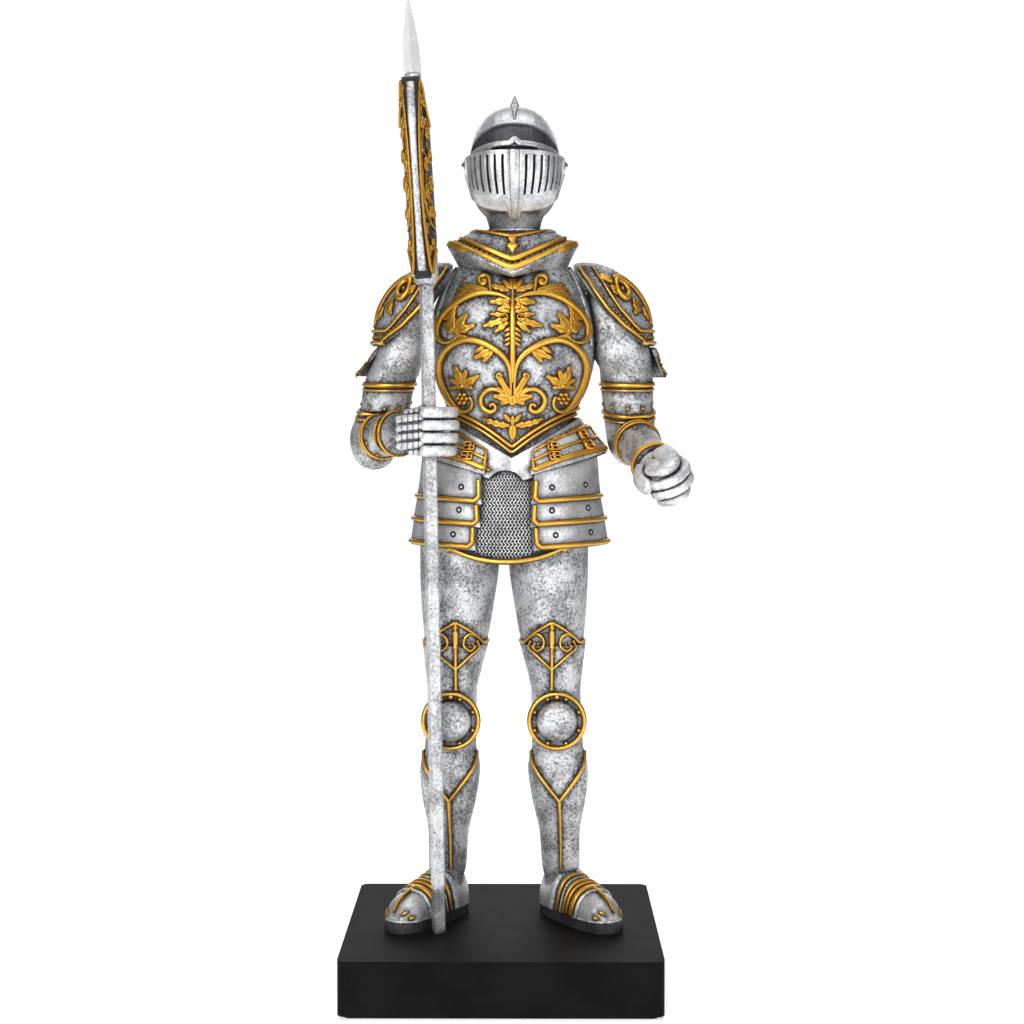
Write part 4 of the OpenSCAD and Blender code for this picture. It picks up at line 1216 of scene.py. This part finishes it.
fingers = []
for k in range(4):
    height = (1.5 - k) * FINGER_PITCH
    reach = (0.2, 0.5, 0.3, -0.3)[k]
    path = [(-0.8, -6.2), (2.4, -6.5), (5.6, -6.0), (8.0 + reach, -3.4), (8.5 + reach, 0), (7.4 + reach, 3.8),
            (5.4, 5.7)]
    fingers.append(finger(right_frame(height), path, 1.86, 2.0, (0.36, 0.66)))
thumb = finger(lambda x, y, z: PALM + hand_turn @ Vector((x, y, z + 3.2 + 0.25 * x)),
               [(-8.4, 1.6), (-6.6, 5.4), (-2, 7.0), (2.4, 6.9), (5.2, 6.6)], 1.9, 1.25, (0.55,))
finish("right_hand_fingers", *gather(fingers + [thumb]), HAND, slot="polished_plate")

scales = Relief(FlatChart(right_fist))
for row in range(6):
    for column in range(5):
        x = PALM.x - 7.6 + 1.72 * column
        z = PALM.z + 6.6 - 2.65 * row + 0.2 * (column - 2)
        scales.strip([(x - 0.8, z), (x - 0.68, z), (x, z), (x + 0.68, z), (x + 0.8, z)], 2.45, 1.25,
                     lambda t: 0.86 if t in (0, 1) else 1.0, across=8)
scales.piece("right_hand_scales", slot="polished_plate", material=HAND)

# %% [markdown]
# The left hand is an empty fist that points forwards. Its fingers are rolls across the end
# of the fist, tilted a little, and the thumb lies along its inner side.

# %% Left hand
fist_axis = (FIST["left_"] - WRIST["left_"]).normalized()
fist_side = fist_axis.cross(Vector((0, 0, 1))).normalized() * -1
if fist_side.x < 0:
    fist_side = -fist_side
fist_up = fist_side.cross(fist_axis).normalized()
if fist_up.z < 0:
    fist_up = -fist_up
ROLL_TILT = math.radians(24)
roll_along = fist_side * math.cos(ROLL_TILT) + fist_up * math.sin(ROLL_TILT)
roll_down = fist_side * math.sin(ROLL_TILT) - fist_up * math.cos(ROLL_TILT)
left_base = smooth_copy("left_gauntlet", material=HAND, levels=1)
shrink(left_base, 1.9, lambda p: (p - WRIST["left_"]).dot(fist_axis) > 5)


def left_frame(drop):
    return lambda x, y, z: WRIST["left_"] + roll_along * x + fist_axis * y + roll_down * (z + drop)


rolls = []
for k in range(4):
    drop = (k - 1.5) * 3.5
    half = math.sqrt(max(7.8 ** 2 - drop ** 2, 9)) - 0.9
    front = 20.2 - 0.045 * drop ** 2
    deep = 1.9 if k else 3.4
    half, front = half - (deep - 1.9), front - (deep - 1.9)
    path = [(-half * 0.75, front - 5), (-half * 0.6, front - 1.4), (0, front), (half * 0.6, front - 1.2),
            (half, front - 5), (half * 0.96, front - 10), (half * 0.8, front - 13.5)]
    rolls.append(finger(left_frame(drop), path, 1.65, deep, (0.2, 0.5)))
thumb = finger(lambda x, y, z: WRIST["left_"] + fist_side * x + fist_axis * y + fist_up * (z - 0.2 - 0.06 * y),
               [(-5.4, 5.4), (-7.4, 9.5), (-7.7, 14), (-6.6, 17.4), (-5.6, 18.8)], 2.7, 1.7, (0.55,))
finish("left_hand_fingers", *gather(rolls + [thumb]), HAND, slot="polished_plate")

# %% [markdown]
# ## Feet
# Each sabaton has silver lames and gold bands across the instep, and a gold rib with four
# dots on the toe cap. The chart runs along the foot, so a band at one distance goes round it.
# A thin silver welt runs round the top of the sole. Its line is found by feeling outwards
# from the middle of the foot, until nothing lies below.

# %% Sabaton lames
ANKLE = (19.4, 8, 21.2)
SPLAY = 34
WELT_INSET = 1.15
welt_edges = {}
for side, way in SIDES:
    turn = math.radians(SPLAY) * way
    ahead = Vector((math.sin(turn), -math.cos(turn), 0))
    foot_at = (LEG_MID + way * ANKLE[0], ANKLE[1], ANKLE[2])
    chart = RoundChart(plates[side + "sabaton"], foot_at, 10, axis=ahead, front=(0, 0, 1))
    lames, gold = Relief(chart), Relief(chart)

    def hoop(distance, bow=1.6):
        return [(chart.u(d), distance + bow * math.cos(math.radians(d))) for d in np.linspace(-86, 86, 40)]

    for distance, width, height in ((3.4, 3.0, 1.3), (8.6, 1.1, 0.7), (17.6, 1.5, 0.9)):
        lames.strip(hoop(distance), width, height)
    lames.piece(side + "foot_lames", slot="polished_plate", material=SHAFT)
    for distance, width in ((6.6, 1.3), (10.6, 1.5), (12.5, 1.3), (14.9, 2.5)):
        gold.strip(hoop(distance, 1.8), width, 1.0)
    gold.strip([(0, v) for v in np.linspace(16.8, 28.6, 20)], 2.0, 1.0)
    for d, distance in ((-74, 25.8), (-50, 27.1), (50, 27.1), (74, 25.8)):
        gold.bead(chart.u(d), distance, 1.15, 0.75)
    gold.piece(side + "foot_gold")
    # The soles are near-black: painted shade under the feet.
    sole = smooth_copy(side + "sole", material=SHADE_BLACK, levels=1)
    welt = Relief(FlatChart(sole, aim=(0, 0, -1)))
    across = Vector((math.cos(turn), math.sin(turn), 0))
    middle = Vector(foot_at) + ahead * 10
    edge = []
    for turn in np.radians(np.linspace(0, 360, 97)[:-1]):
        way_out = ahead * math.cos(turn) + across * math.sin(turn)
        near, far = 2.0, 26.0
        for _ in range(22):
            r = (near + far) / 2
            p = middle + way_out * r
            if welt.chart.hits(p.x, p.y):
                near = r
            else:
                far = r
        p = middle + way_out * (near - WELT_INSET)
        edge.append((p.x, p.y))
    welt.strip(edge, 1.4, 0.9, closed=True)
    welt.piece(side + "welt", slot="polished_plate", material=SHAFT)
    welt_edges[side] = [(Vector((x, y, 0)), middle) for x, y in spaced(edge + edge[:1], 1.3)]

# %% [markdown]
# ## Things that repeat: Geometry Nodes
# Rivets, mail links and welt stitches are one small shape set out on many places. Python
# works out the places and which way is out. The tree puts a copy on each, makes the copies
# real and gives them their paint.

# %% A tree that sets a shape out on places


def set_out_tree(name, material, shape):
    """Shape(tree, radius, thickness) builds the small mesh and returns its socket."""
    tree = bpy.data.node_groups.new(name, "GeometryNodeTree")
    tree.interface.new_socket("Places", in_out="INPUT", socket_type="NodeSocketGeometry")
    for label in ("Radius", "Thickness"):
        tree.interface.new_socket(label, in_out="INPUT", socket_type="NodeSocketFloat")
    tree.interface.new_socket("Mesh", in_out="OUTPUT", socket_type="NodeSocketGeometry")
    made = {kind: tree.nodes.new(kind) for kind in (
        "NodeGroupInput", "NodeGroupOutput", "GeometryNodeInstanceOnPoints", "GeometryNodeRealizeInstances",
        "GeometryNodeSetMaterial")}
    given = made["NodeGroupInput"].outputs
    link = tree.links.new
    rotation = None
    for attribute, axis in (("out", "Z"), ("along", "X")):
        read = tree.nodes.new("GeometryNodeInputNamedAttribute")
        read.data_type = "FLOAT_VECTOR"
        read.inputs["Name"].default_value = attribute
        align = tree.nodes.new("FunctionNodeAlignRotationToVector")
        align.axis = axis
        align.pivot_axis = "AUTO" if rotation is None else "Z"
        link(read.outputs[0], align.inputs["Vector"])
        if rotation is not None:
            link(rotation, align.inputs["Rotation"])
        rotation = align.outputs[0]
    place = made["GeometryNodeInstanceOnPoints"]
    link(given["Places"], place.inputs["Points"])
    link(shape(tree, given["Radius"], given["Thickness"]), place.inputs["Instance"])
    link(rotation, place.inputs["Rotation"])
    link(place.outputs[0], made["GeometryNodeRealizeInstances"].inputs[0])
    made["GeometryNodeSetMaterial"].inputs["Material"].default_value = material
    link(made["GeometryNodeRealizeInstances"].outputs[0], made["GeometryNodeSetMaterial"].inputs["Geometry"])
    link(made["GeometryNodeSetMaterial"].outputs[0], made["NodeGroupOutput"].inputs[0])
    return tree, material


def rivet_shape(tree, radius, thickness):
    dome = tree.nodes.new("GeometryNodeMeshUVSphere")
    dome.inputs["Segments"].default_value = 10
    dome.inputs["Rings"].default_value = 6
    squash = tree.nodes.new("GeometryNodeTransform")
    scale = tree.nodes.new("ShaderNodeCombineXYZ")
    for socket, size in zip(scale.inputs, (radius, radius, thickness)):
        tree.links.new(size, socket)
    tree.links.new(dome.outputs["Mesh"], squash.inputs["Geometry"])
    tree.links.new(scale.outputs[0], squash.inputs["Scale"])
    return squash.outputs[0]


def wire_shape(turn_degrees, sides=5, points=7):
    """An arc of wire, bent through turn_degrees."""
    def shape(tree, radius, thickness):
        arc = tree.nodes.new("GeometryNodeCurveArc")
        arc.inputs["Resolution"].default_value = points
        arc.inputs["Start Angle"].default_value = math.radians(90 - turn_degrees / 2)
        arc.inputs["Sweep Angle"].default_value = math.radians(turn_degrees)
        section = tree.nodes.new("GeometryNodeCurvePrimitiveCircle")
        section.inputs["Resolution"].default_value = sides
        wire = tree.nodes.new("GeometryNodeCurveToMesh")
        wire.inputs["Fill Caps"].default_value = True
        tree.links.new(radius, arc.inputs["Radius"])
        tree.links.new(thickness, section.inputs["Radius"])
        tree.links.new(arc.outputs[0], wire.inputs["Curve"])
        tree.links.new(section.outputs[0], wire.inputs["Profile Curve"])
        return wire.outputs[0]
    return shape


def set_out(name, tool, places, radius_mm, thickness_mm, body="figure"):
    """Places are (point, outward, along) triples, with points in mm. Returns one plain piece."""
    tree, material = tool
    mesh = bpy.data.meshes.new(name)
    mesh.from_pydata([tuple(Vector(p) * MM) for p, _, _ in places], [], [])
    for key, values in (("out", [o for _, o, _ in places]), ("along", [a for _, _, a in places])):
        mesh.attributes.new(key, "FLOAT_VECTOR", "POINT").data.foreach_set("vector", [c for v in values for c in v])
    holder = bpy.data.objects.new(name, mesh)
    bpy.context.collection.objects.link(holder)
    modifier = holder.modifiers.new("set out", "NODES")
    modifier.node_group = tree
    sockets = {item.name: item.identifier for item in tree.interface.items_tree if item.in_out == "INPUT"}
    modifier[sockets["Radius"]] = radius_mm * MM
    modifier[sockets["Thickness"]] = thickness_mm * MM
    bpy.context.view_layer.update()
    done = bpy.data.meshes.new_from_object(holder.evaluated_get(bpy.context.evaluated_depsgraph_get()))
    holder.modifiers.remove(modifier)
    bpy.data.objects.remove(holder)
    piece = adopt(name, done, material, body, ())
    print(f"{name}: {len(places)} places, {len(done.polygons)} faces")
    return piece


def lie_on(chart, points, lift=0.0):
    """(point, outward, along) for points of a chart; along is the way u grows."""
    places = []
    for u, v in points:
        here, out = chart.at(u, v)
        there = chart.at(u + 0.4, v)[0]
        places.append((here + out * lift, out, (there - here).normalized()))
    return places


# %% [markdown]
# The tassets' rivets sit above each hem, every one in a black ring at its foot: painted shade where it meets the plate.

# %% Silver rivets
rivet_tree = set_out_tree("silver rivets", HELMET, rivet_shape)
ring_tree = set_out_tree("rivet rings", DARK, wire_shape(359, 5, 12))
rivet_places = []
for side, sign in SIDES:
    for k, name in enumerate(("lower", "middle", "upper")):
        chart = RoundChart(plates[side + "tasset_" + name], (HIP_X, HIP_Y, 0), (TASSET_Z[k] + TASSET_Z[k + 1]) / 2)
        rivet_places += lie_on(chart, [(chart.u(sign * d), hem_height(k, d, 4.9 if k else 4.4))
                                       for d in (tasset_fronts[side + name] + 15, 66, 100, 135, 168)])
set_out("tasset_rivets", rivet_tree, rivet_places, 0.55, 0.3)
set_out("tasset_rivet_rings", ring_tree, rivet_places, 0.8, 0.3)

# %% [markdown]
# ## Mail
# The skirt is mail: bent links that face left and right in turn, so each column reads as a
# wavy cord. A link is an open arc of thin wire, which keeps the face count low.

# %% Mail links
skirt = smooth_copy("mail_skirt", material=DARK, levels=1)
skirt_low, skirt_high = (corner[2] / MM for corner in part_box("mail_skirt"))


def hem_arc(x):
    """The hem hangs lowest in the middle and runs up behind the tassets."""
    return skirt_low + 8.6 * min(1.0, abs(x - 1.2) / 25) ** 2.2


def arched(p):
    rise = hem_arc(p.x) - skirt_low
    return Vector((p.x, p.y, p.z + rise * min(1.0, max(0.0, (150 - p.z) / (150 - skirt_low)))))


reshape(skirt, arched)
mail_chart = RoundChart(skirt, (HIP_X, HIP_Y, 0), 150)
LINK_U, LINK_V = 1.15, 1.02
mail_places = []
for row in range(int((skirt_high - skirt_low - 2.4) / LINK_V)):
    v = skirt_low + 2.4 + row * LINK_V
    reach = 68 if v > 158 or v < 146 else 40
    edge = min(abs(mail_chart.u(-reach)), mail_chart.u(reach))
    u = -edge
    row_points = []
    while u < edge:
        x = mail_chart.origin.x + 28 * math.sin(mail_chart.angle(u))
        if mail_chart.hits(u, v) and v > hem_arc(x) + 2:
            row_points.append((u, v))
        u += LINK_U
    for here, out, along in lie_on(mail_chart, row_points, 0.05):
        up = out.cross(along) * (1 if row % 2 else -1)
        mail_places.append((here - out.cross(up) * 0.14, out, up))
link_tree = set_out_tree("mail links", MAIL, wire_shape(150, 4, 5))
set_out("mail_links", link_tree, mail_places, 0.55, 0.28)

hem = Relief(mail_chart)
hem_u = [mail_chart.u(d) for d in np.linspace(-56, 56, 90)]
hem.strip([(u, hem_arc(mail_chart.at(u, 140)[0].x) + 1.0) for u in hem_u], 1.7, 0.9)
hem.piece("mail_hem")

# %% [markdown]
# Small dark stitches follow the line of each welt.

# %% Welt stitches
welt_places = []
for points in welt_edges.values():
    for point, middle in points:
        out = (point - Vector((middle.x, middle.y, 0))).normalized()
        lift = Vector((0, 0, ANKLE[2] + 0.15))
        welt_places.append((point + out * 0.66 + lift, out, Vector((0, 0, 1)).cross(out)))
stitch_tree = set_out_tree("welt stitches", DARK, rivet_shape)
set_out("welt_stitches", stitch_tree, welt_places, 0.24, 0.14)
print("stitches:", len(welt_places))

# %% [markdown]
# ## Helmet
# The skull, brow band and bevor are smooth polished castings. The visor is drawn as one
# sheet with its sights left open, then given its thickness and soft edges, so that light
# falls through the sights. It turns on the two pins at the temples.

# %% Helmet shells
# The bevor takes a darker silver, painted shade under the visor, and the sight plate a near-black, painted shade in the
# helmet's opening.
for node, paint in (("helmet_skull", HELMET), ("helmet_comb", HELMET), ("bevor", SHADE_SILVER), ("sight_plate", SHADE_BLACK)):
    plates[node] = smooth_copy(node, material=paint)

HELM = Vector((4, 4, 264.6))
VISOR_R, VISOR_HALF, VISOR_POWER = 20.6, 16.1, 2.9
VISOR_HIGH, VISOR_LOW, TAB_LOW, TAB_HALF = 7.8, -51, -63, 2.9
SIGHTS, SIGHT_FIRST, SIGHT_STEP, SIGHT_W = 7, 10.4, 6.9, 0.85
ROWS_BELOW, ROWS_OF_SIGHTS, ROWS_ABOVE = 9, 7, 3


def visor_reach(turn, z):
    """Distance from the helm's upright middle line to the visor, at a bearing and a height."""
    near, far = 0.0, 30.0
    for _ in range(30):
        d = (near + far) / 2
        x, depth = d * math.sin(turn), math.hypot(d * math.cos(turn), z)
        if (abs(x) / VISOR_HALF) ** VISOR_POWER + (depth / VISOR_R) ** VISOR_POWER > 1:
            far = d
        else:
            near = d
    return near


def visor_height(turn, elevation):
    """Height at which an edge of constant elevation about the pivots crosses a bearing."""
    e = math.radians(elevation)
    across = (abs(math.sin(turn)) / VISOR_HALF) ** VISOR_POWER
    ahead = (math.cos(turn) / (math.cos(e) * VISOR_R)) ** VISOR_POWER
    return math.tan(e) * (across + ahead) ** (-1 / VISOR_POWER) * math.cos(turn)


def sight_span(turn):
    fall = max(math.cos(turn), 0.001) ** 0.75
    return (max(-11.2 * fall, visor_height(turn, VISOR_LOW) + 1.2),
            min(1.5 * fall, visor_height(turn, VISOR_HIGH) - 0.7))


def visor_sheet():
    sights = [s * (SIGHT_FIRST + SIGHT_STEP * k) for k in range(SIGHTS) for s in (-1, 1)]
    bearings = []
    for centre in sights:
        half = math.degrees(math.asin(SIGHT_W / 2 / visor_reach(math.radians(centre), -3)))
        bearings += [(centre - half, True), (centre + half, False)]
        bearings += [(centre + half + 2.2, False), (centre - half - 2.2, False)]
    reach = visor_reach(0, -8)
    for x in (0, 0.7, 1.2, 1.55, 1.9, 2.3, 2.7, 2.9):
        turn = math.degrees(math.asin(x / reach))
        bearings += [(turn, False), (-turn, False)] if x else [(0, False)]
    bearings += [(s * a, False) for s in (-1, 1) for a in (80, 83.5, 86.5, 88.6)]
    bearings = sorted(set(bearings))
    verts, faces = [], []
    bands = ((0, 1, ROWS_BELOW), (1, 2, ROWS_OF_SIGHTS), (2, 3, ROWS_ABOVE))
    rows = sum(count for _, _, count in bands) + 1
    for degrees, _ in bearings:
        turn = math.radians(degrees)
        x_here = abs(visor_reach(turn, -8) * math.sin(turn))
        edge_low = visor_height(turn, TAB_LOW if x_here < TAB_HALF + 0.05 else VISOR_LOW)
        low, high = sight_span(turn)
        stops = (edge_low, low, high, visor_height(turn, VISOR_HIGH))
        heights = [stops[a] + (stops[b] - stops[a]) * k / count for a, b, count in bands for k in range(count)]
        heights.append(stops[3])
        for z in heights:
            d = visor_reach(turn, z)
            ridge = np.interp(x_here, (0, 0.7, 1.2, 1.55, 1.9), (0.75, 0.6, 0.45, -0.12, 0.05))
            rim = max(0.0, 1 - (stops[3] - z) / 1.1) * 0.35 + max(0.0, 1 - (z - edge_low) / 1.2) * 0.3
            d += ridge + rim * min(1.0, max(0.0, math.cos(turn) * 3))
            verts.append(HELM + Vector((d * math.sin(turn), -d * math.cos(turn), z)))
    for j, (left, right) in enumerate(zip(bearings, bearings[1:])):
        open_column = left[1] and abs(right[0] - left[0]) < 6
        for i in range(rows - 1):
            if open_column and ROWS_BELOW <= i < ROWS_BELOW + ROWS_OF_SIGHTS:
                continue
            a, b = j * rows + i, (j + 1) * rows + i
            faces.append((a, b, b + 1, a + 1))
    return verts, faces


def turned(profile, side, steps=40):
    """A disc on the pivots' line, from (radius, distance from the helm's middle) pairs."""
    verts, faces = [], []
    for r, x in profile:
        for k in range(steps):
            a = 2 * math.pi * k / steps
            verts.append(HELM + Vector((side * x, r * math.cos(a), r * math.sin(a))))
    for i in range(len(profile) - 1):
        for k in range(steps):
            n = (k + 1) % steps
            faces.append((i * steps + k, i * steps + n, (i + 1) * steps + n, (i + 1) * steps + k))
    faces.append(tuple(range(steps)))
    faces.append(tuple((len(profile) - 1) * steps + k for k in reversed(range(steps))))
    return verts, faces


sheet = bpy.data.meshes.new("visor sheet")
sheet_verts, sheet_faces = visor_sheet()
sheet.from_pydata([tuple(v * MM) for v in sheet_verts], [], sheet_faces)
shell = evaluated(sheet, ("SOLIDIFY", {"thickness": 1.15 * MM, "offset": -1.0, "use_even_offset": False}),
                  ("BEVEL", {"width": 0.14 * MM, "segments": 2, "limit_method": "ANGLE",
                             "angle_limit": math.radians(50)}))
DISC = [(0.86, 15.2), (2.7, 15.3), (2.8, 15.5), (2.8, 16.0), (2.6, 16.22), (2.1, 16.25), (1.9, 16.05), (0.86, 16.05)]
discs = [turned(DISC, side) for side in (-1, 1)]
parts = [([v.co / MM for v in shell.vertices], [tuple(f.vertices) for f in shell.polygons])] + discs
finish("visor_shell", *gather(parts), HELMET, body="visor", slot="polished_plate", replaces=["visor"], sharp=40)
print("visor:", len(shell.polygons), "faces, sights", 2 * SIGHTS)

# %% [markdown]
# A few raised lines finish the helmet: a rim over the sights that peaks in the middle, a
# thin one at the brow, a ring at the neck, and a low ridge over the crown.

# %% Brow and sight rims


def helm_line(elevation, radius, half, power, reach, peak=0.0):
    """A line across the helmet's front at a constant elevation about the pivots."""
    path = []
    for x in np.linspace(-half * reach, half * reach, 60):
        depth = radius * (1 - (abs(x) / half) ** power) ** (1 / power)
        lift = peak * max(0.0, 1 - abs(x) / 1.6)
        path.append((HELM.x + x, HELM.z + math.sin(math.radians(elevation)) * depth + lift))
    return path


rims = Relief(FlatChart(plates["sight_plate"]))
rims.strip(helm_line(16.6, 18.1, 14.2, 2.3, 0.95, 1.5), 2.2, 1.0, groove=0.3)
rims.piece("sight_rim", slot="polished_plate", material=HELMET)
neck_chart = RoundChart([plates["bevor"], plates["gorget_collar"]], (HELM.x, HELM.y, 0), 244)
neck = Relief(neck_chart)
neck.strip([(neck_chart.u(d), 243.3) for d in np.linspace(-180, 180, 73)[:-1]], 1.1, 0.6, closed=True)
neck.piece("neck_ring", slot="polished_plate", material=SHAFT)
brow = Relief(FlatChart(plates["helmet_skull"]))
brow.strip(helm_line(42.5, 19.0, 14.7, 2.3, 0.88), 0.9, 0.15)
brow.piece("brow_rim", slot="polished_plate", material=HELMET)
crown_chart = RoundChart(plates["helmet_skull"], HELM, 0, axis=(1, 0, 0), front=(0, -1, 0))
crown = Relief(crown_chart)
crown.strip([(crown_chart.u(-d), 0) for d in np.linspace(45, 150, 60)], 1.7, 1.3, lambda t: min(1.0, 0.35 + 4 * t))
crown.piece("crown_ridge", slot="polished_plate", material=HELMET)

# %% [markdown]
# ## Halberd
# The shaft is a square bar with its corners taken off, and it has the dents of a hand-worked
# casting. The axe head is seen edge on: a bright edge between two black cheeks that are
# full of gold scrolls, and a plain spike on top.

# %% Shaft
SHAFT_SIDE, SHAFT_BEVEL, SHAFT_TURN, SHAFT_L, FERRULE_L = 3.9, 0.9, 24, 215, 14


def worked_bar(start, end, dent_mm):
    """A bevelled square bar whose skin dips inwards here and there, and never outwards."""
    side_x = Vector((math.cos(math.radians(SHAFT_TURN)), math.sin(math.radians(SHAFT_TURN)), 0))
    side_x = (side_x - SHAFT_AXIS * side_x.dot(SHAFT_AXIS)).normalized()
    side_y = SHAFT_AXIS.cross(side_x)
    half, cut = SHAFT_SIDE / 2, SHAFT_BEVEL / math.sqrt(2)
    outline = []
    for quarter in range(4):
        c, s = math.cos(quarter * math.pi / 2), math.sin(quarter * math.pi / 2)
        for px, py in ((half, -half + cut), (half, -0.8), (half, 0), (half, 0.8), (half, half - cut)):
            outline.append((px * c - py * s, px * s + py * c))
    count = int((end - start) / 1.1)
    verts, faces, around = [], [], len(outline)
    for i in range(count + 1):
        run = start + (end - start) * i / count
        for px, py in outline:
            place = BUTT + SHAFT_AXIS * run
            spot = Vector((px, py, run * 0.6)) * 0.55
            dip = dent_mm * max(0.0, noise.noise(spot) + 0.3 * noise.noise(spot * 3.1) + 0.25)
            if i in (0, count):
                dip = dent_mm
            shrink = 1 - dip / half
            verts.append(place + side_x * px * shrink + side_y * py * shrink)
    for i in range(count):
        for k in range(around):
            n = (k + 1) % around
            faces.append((i * around + k, i * around + n, (i + 1) * around + n, (i + 1) * around + k))
    faces.append(tuple(range(around)))
    faces.append(tuple(count * around + k for k in reversed(range(around))))
    return verts, faces


finish("shaft_bar", *worked_bar(FERRULE_L, SHAFT_L, 0.13), SHAFT, "halberd", "polished_plate", ["halberd_shaft"],
       sharp=32)
finish("ferrule_bar", *worked_bar(0, FERRULE_L, 0.16), STEEL, "halberd", "blackened", ["butt_ferrule"], sharp=32)
print("shaft:", SHAFT_L, "mm, of which the ferrule is", FERRULE_L, "mm")

# %% [markdown]
# The axe head stands in the plane that runs ahead of the shaft. Its two cheeks mirror one
# another: a gold border, an inner line, and spirals that each have a bead and two leaves.

# %% Axe head
HEAD = BUTT + SHAFT_AXIS * 207
HEAD_AXIS = (Matrix.Rotation(math.radians(-2.6), 3, "Y") @ SHAFT_AXIS).normalized()


def on_head(ahead, height):
    """A place in the head's upright middle plane, as (x, y, z)."""
    return HEAD + HEAD_AXIS * height + Vector((0, -ahead, 0))


blade = smooth_copy("axe_blade", material=DARK, levels=3, body="halberd")
for node, paint, levels in (("halberd_socket", SHAFT, 1), ("rear_fluke", SHAFT, 1), ("top_spike", SPIKE, 2)):
    smooth_copy(node, material=paint, levels=levels, body="halberd")

# The blade's outline, as (ahead of the shaft, height).
AXE_LINE = [(6, 13.2), (11, 9.4), (16, 4.6), (19.6, 1.4), (22.4, 3.4), (25.6, 11), (27.2, 18), (27.6, 26), (27.4, 34),
            (26.2, 43), (24, 52), (20.4, 61.2), (17.4, 61), (13.6, 54.4), (8.6, 49), (6, 47)]
for name, way in (("axe_scrolls_outer", -1), ("axe_scrolls_inner", 1)):
    chart = FlatChart(blade, aim=(-way, 0, 0), origin=(HEAD.x, 0, 0))
    g = Relief(chart)

    def flat(ahead, height):
        place = on_head(ahead, height)
        return place.y, place.z

    border = [flat(a * 0.95 + 0.5, h * 0.965 + 1.1) for a, h in AXE_LINE]
    g.strip(curve(border[1:-1], 0.7), 1.2, 1.0)
    inner = [flat(7, 16), flat(16, 18), flat(22, 24), flat(24, 32), flat(22, 42), flat(15, 50), flat(9, 46)]
    g.strip(curve(inner), 1.2, 0.75, taper)
    for ahead, height, r, start, turns in (
            (21.5, 9.5, 2.3, 90, 1.2), (23.4, 16, 2.0, 0, -1.1), (16, 11.6, 2.1, 200, 1.1), (18.6, 27, 3.0, 0, 1.4),
            (12, 30, 2.9, 180, -1.4), (18.4, 36, 2.9, 90, -1.4), (12, 39, 2.6, 200, 1.3), (24.2, 40, 1.7, 0, 1.1),
            (20.6, 48, 2.2, 0, 1.2), (20.4, 55.6, 2.0, 90, -1.2), (15.6, 55, 1.4, 180, 1), (10.4, 21.4, 2.3, 90, 1.2),
            (25.4, 24.4, 1.4, 90, 1), (25.6, 32, 1.4, 180, -1), (16, 21.6, 2.1, 0, -1.2), (14.4, 45.4, 2.0, 60, 1.2)):
        u, v = flat(ahead, height)
        g.strip(spiral((u, v), r, start, turns, 0.25), 1.2, 1.05, taper)
        g.bead(u, v, 0.55)
        g.leaf(u, v + r, 60 + start, 3.4, 1.6, 0.65, lobes=2)
        g.leaf(u, v - r, 240 + start, 3.0, 1.5, 0.65, lobes=1)
    g.piece(name, body="halberd")

edge = Relief(FlatChart(blade))
edge_path = [on_head(27, h) for h in np.linspace(3.0, 60.5, 70)]
edge.strip([(p.x, p.z) for p in edge_path], 2.7, 0.45)
edge.piece("axe_edge", body="halberd", slot="polished_plate", material=SHAFT)

# %% [markdown]
# ## Plinth and hidden pieces
# The plinth, its felt pad, the screws, the head's core and the visor's pins keep the frame's
# own meshes, and only take their paint.

# %% Paint on the frame's own pieces
# The head's core is black: painted shade inside the helmet.
for node, material in (("plinth", PLINTH), ("felt_pad", FELT), ("fixing_screws", STEEL), ("head_core", DARK),
                       ("visor_pivots", HELMET)):
    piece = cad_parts[node]
    if piece.material_slots:
        for slot in piece.material_slots:
            slot.material = material
    else:
        piece.data.materials.append(material)
    print(node, "is painted with", material.name)

# %% [markdown]
# ## Wash and painted shade round the gold
# Paint that is wiped off a plate stays beside whatever stands up from it, and the shade of the raised gold is painted
# there as well.
# Every silver piece gets an attribute for it: 1 at the foot of the gold, 0 a millimetre and a half away.

# %% Wash
WASH_AND_SHADE_REACH = 1.6 * MM


def spread_wash_and_shade():
    places = [v.co for piece in GOLD_PLACES for v in piece.data.vertices]
    nearby = KDTree(max(1, len(places)))
    for i, place in enumerate(places):
        nearby.insert(place, i)
    nearby.balance()
    for piece in SILVER_PIECES:
        mesh = piece.data
        wash_and_shade = np.zeros(len(mesh.vertices))
        if places:
            for i, vertex in enumerate(mesh.vertices):
                distance = nearby.find(vertex.co)[2]
                wash_and_shade[i] = max(0.0, 1 - distance / WASH_AND_SHADE_REACH)
        mesh.attributes.new("wash_and_shade", "FLOAT", "POINT").data.foreach_set("value", wash_and_shade)
    print("wash laid on", len(SILVER_PIECES), "pieces from", len(places), "gold points")


spread_wash_and_shade()
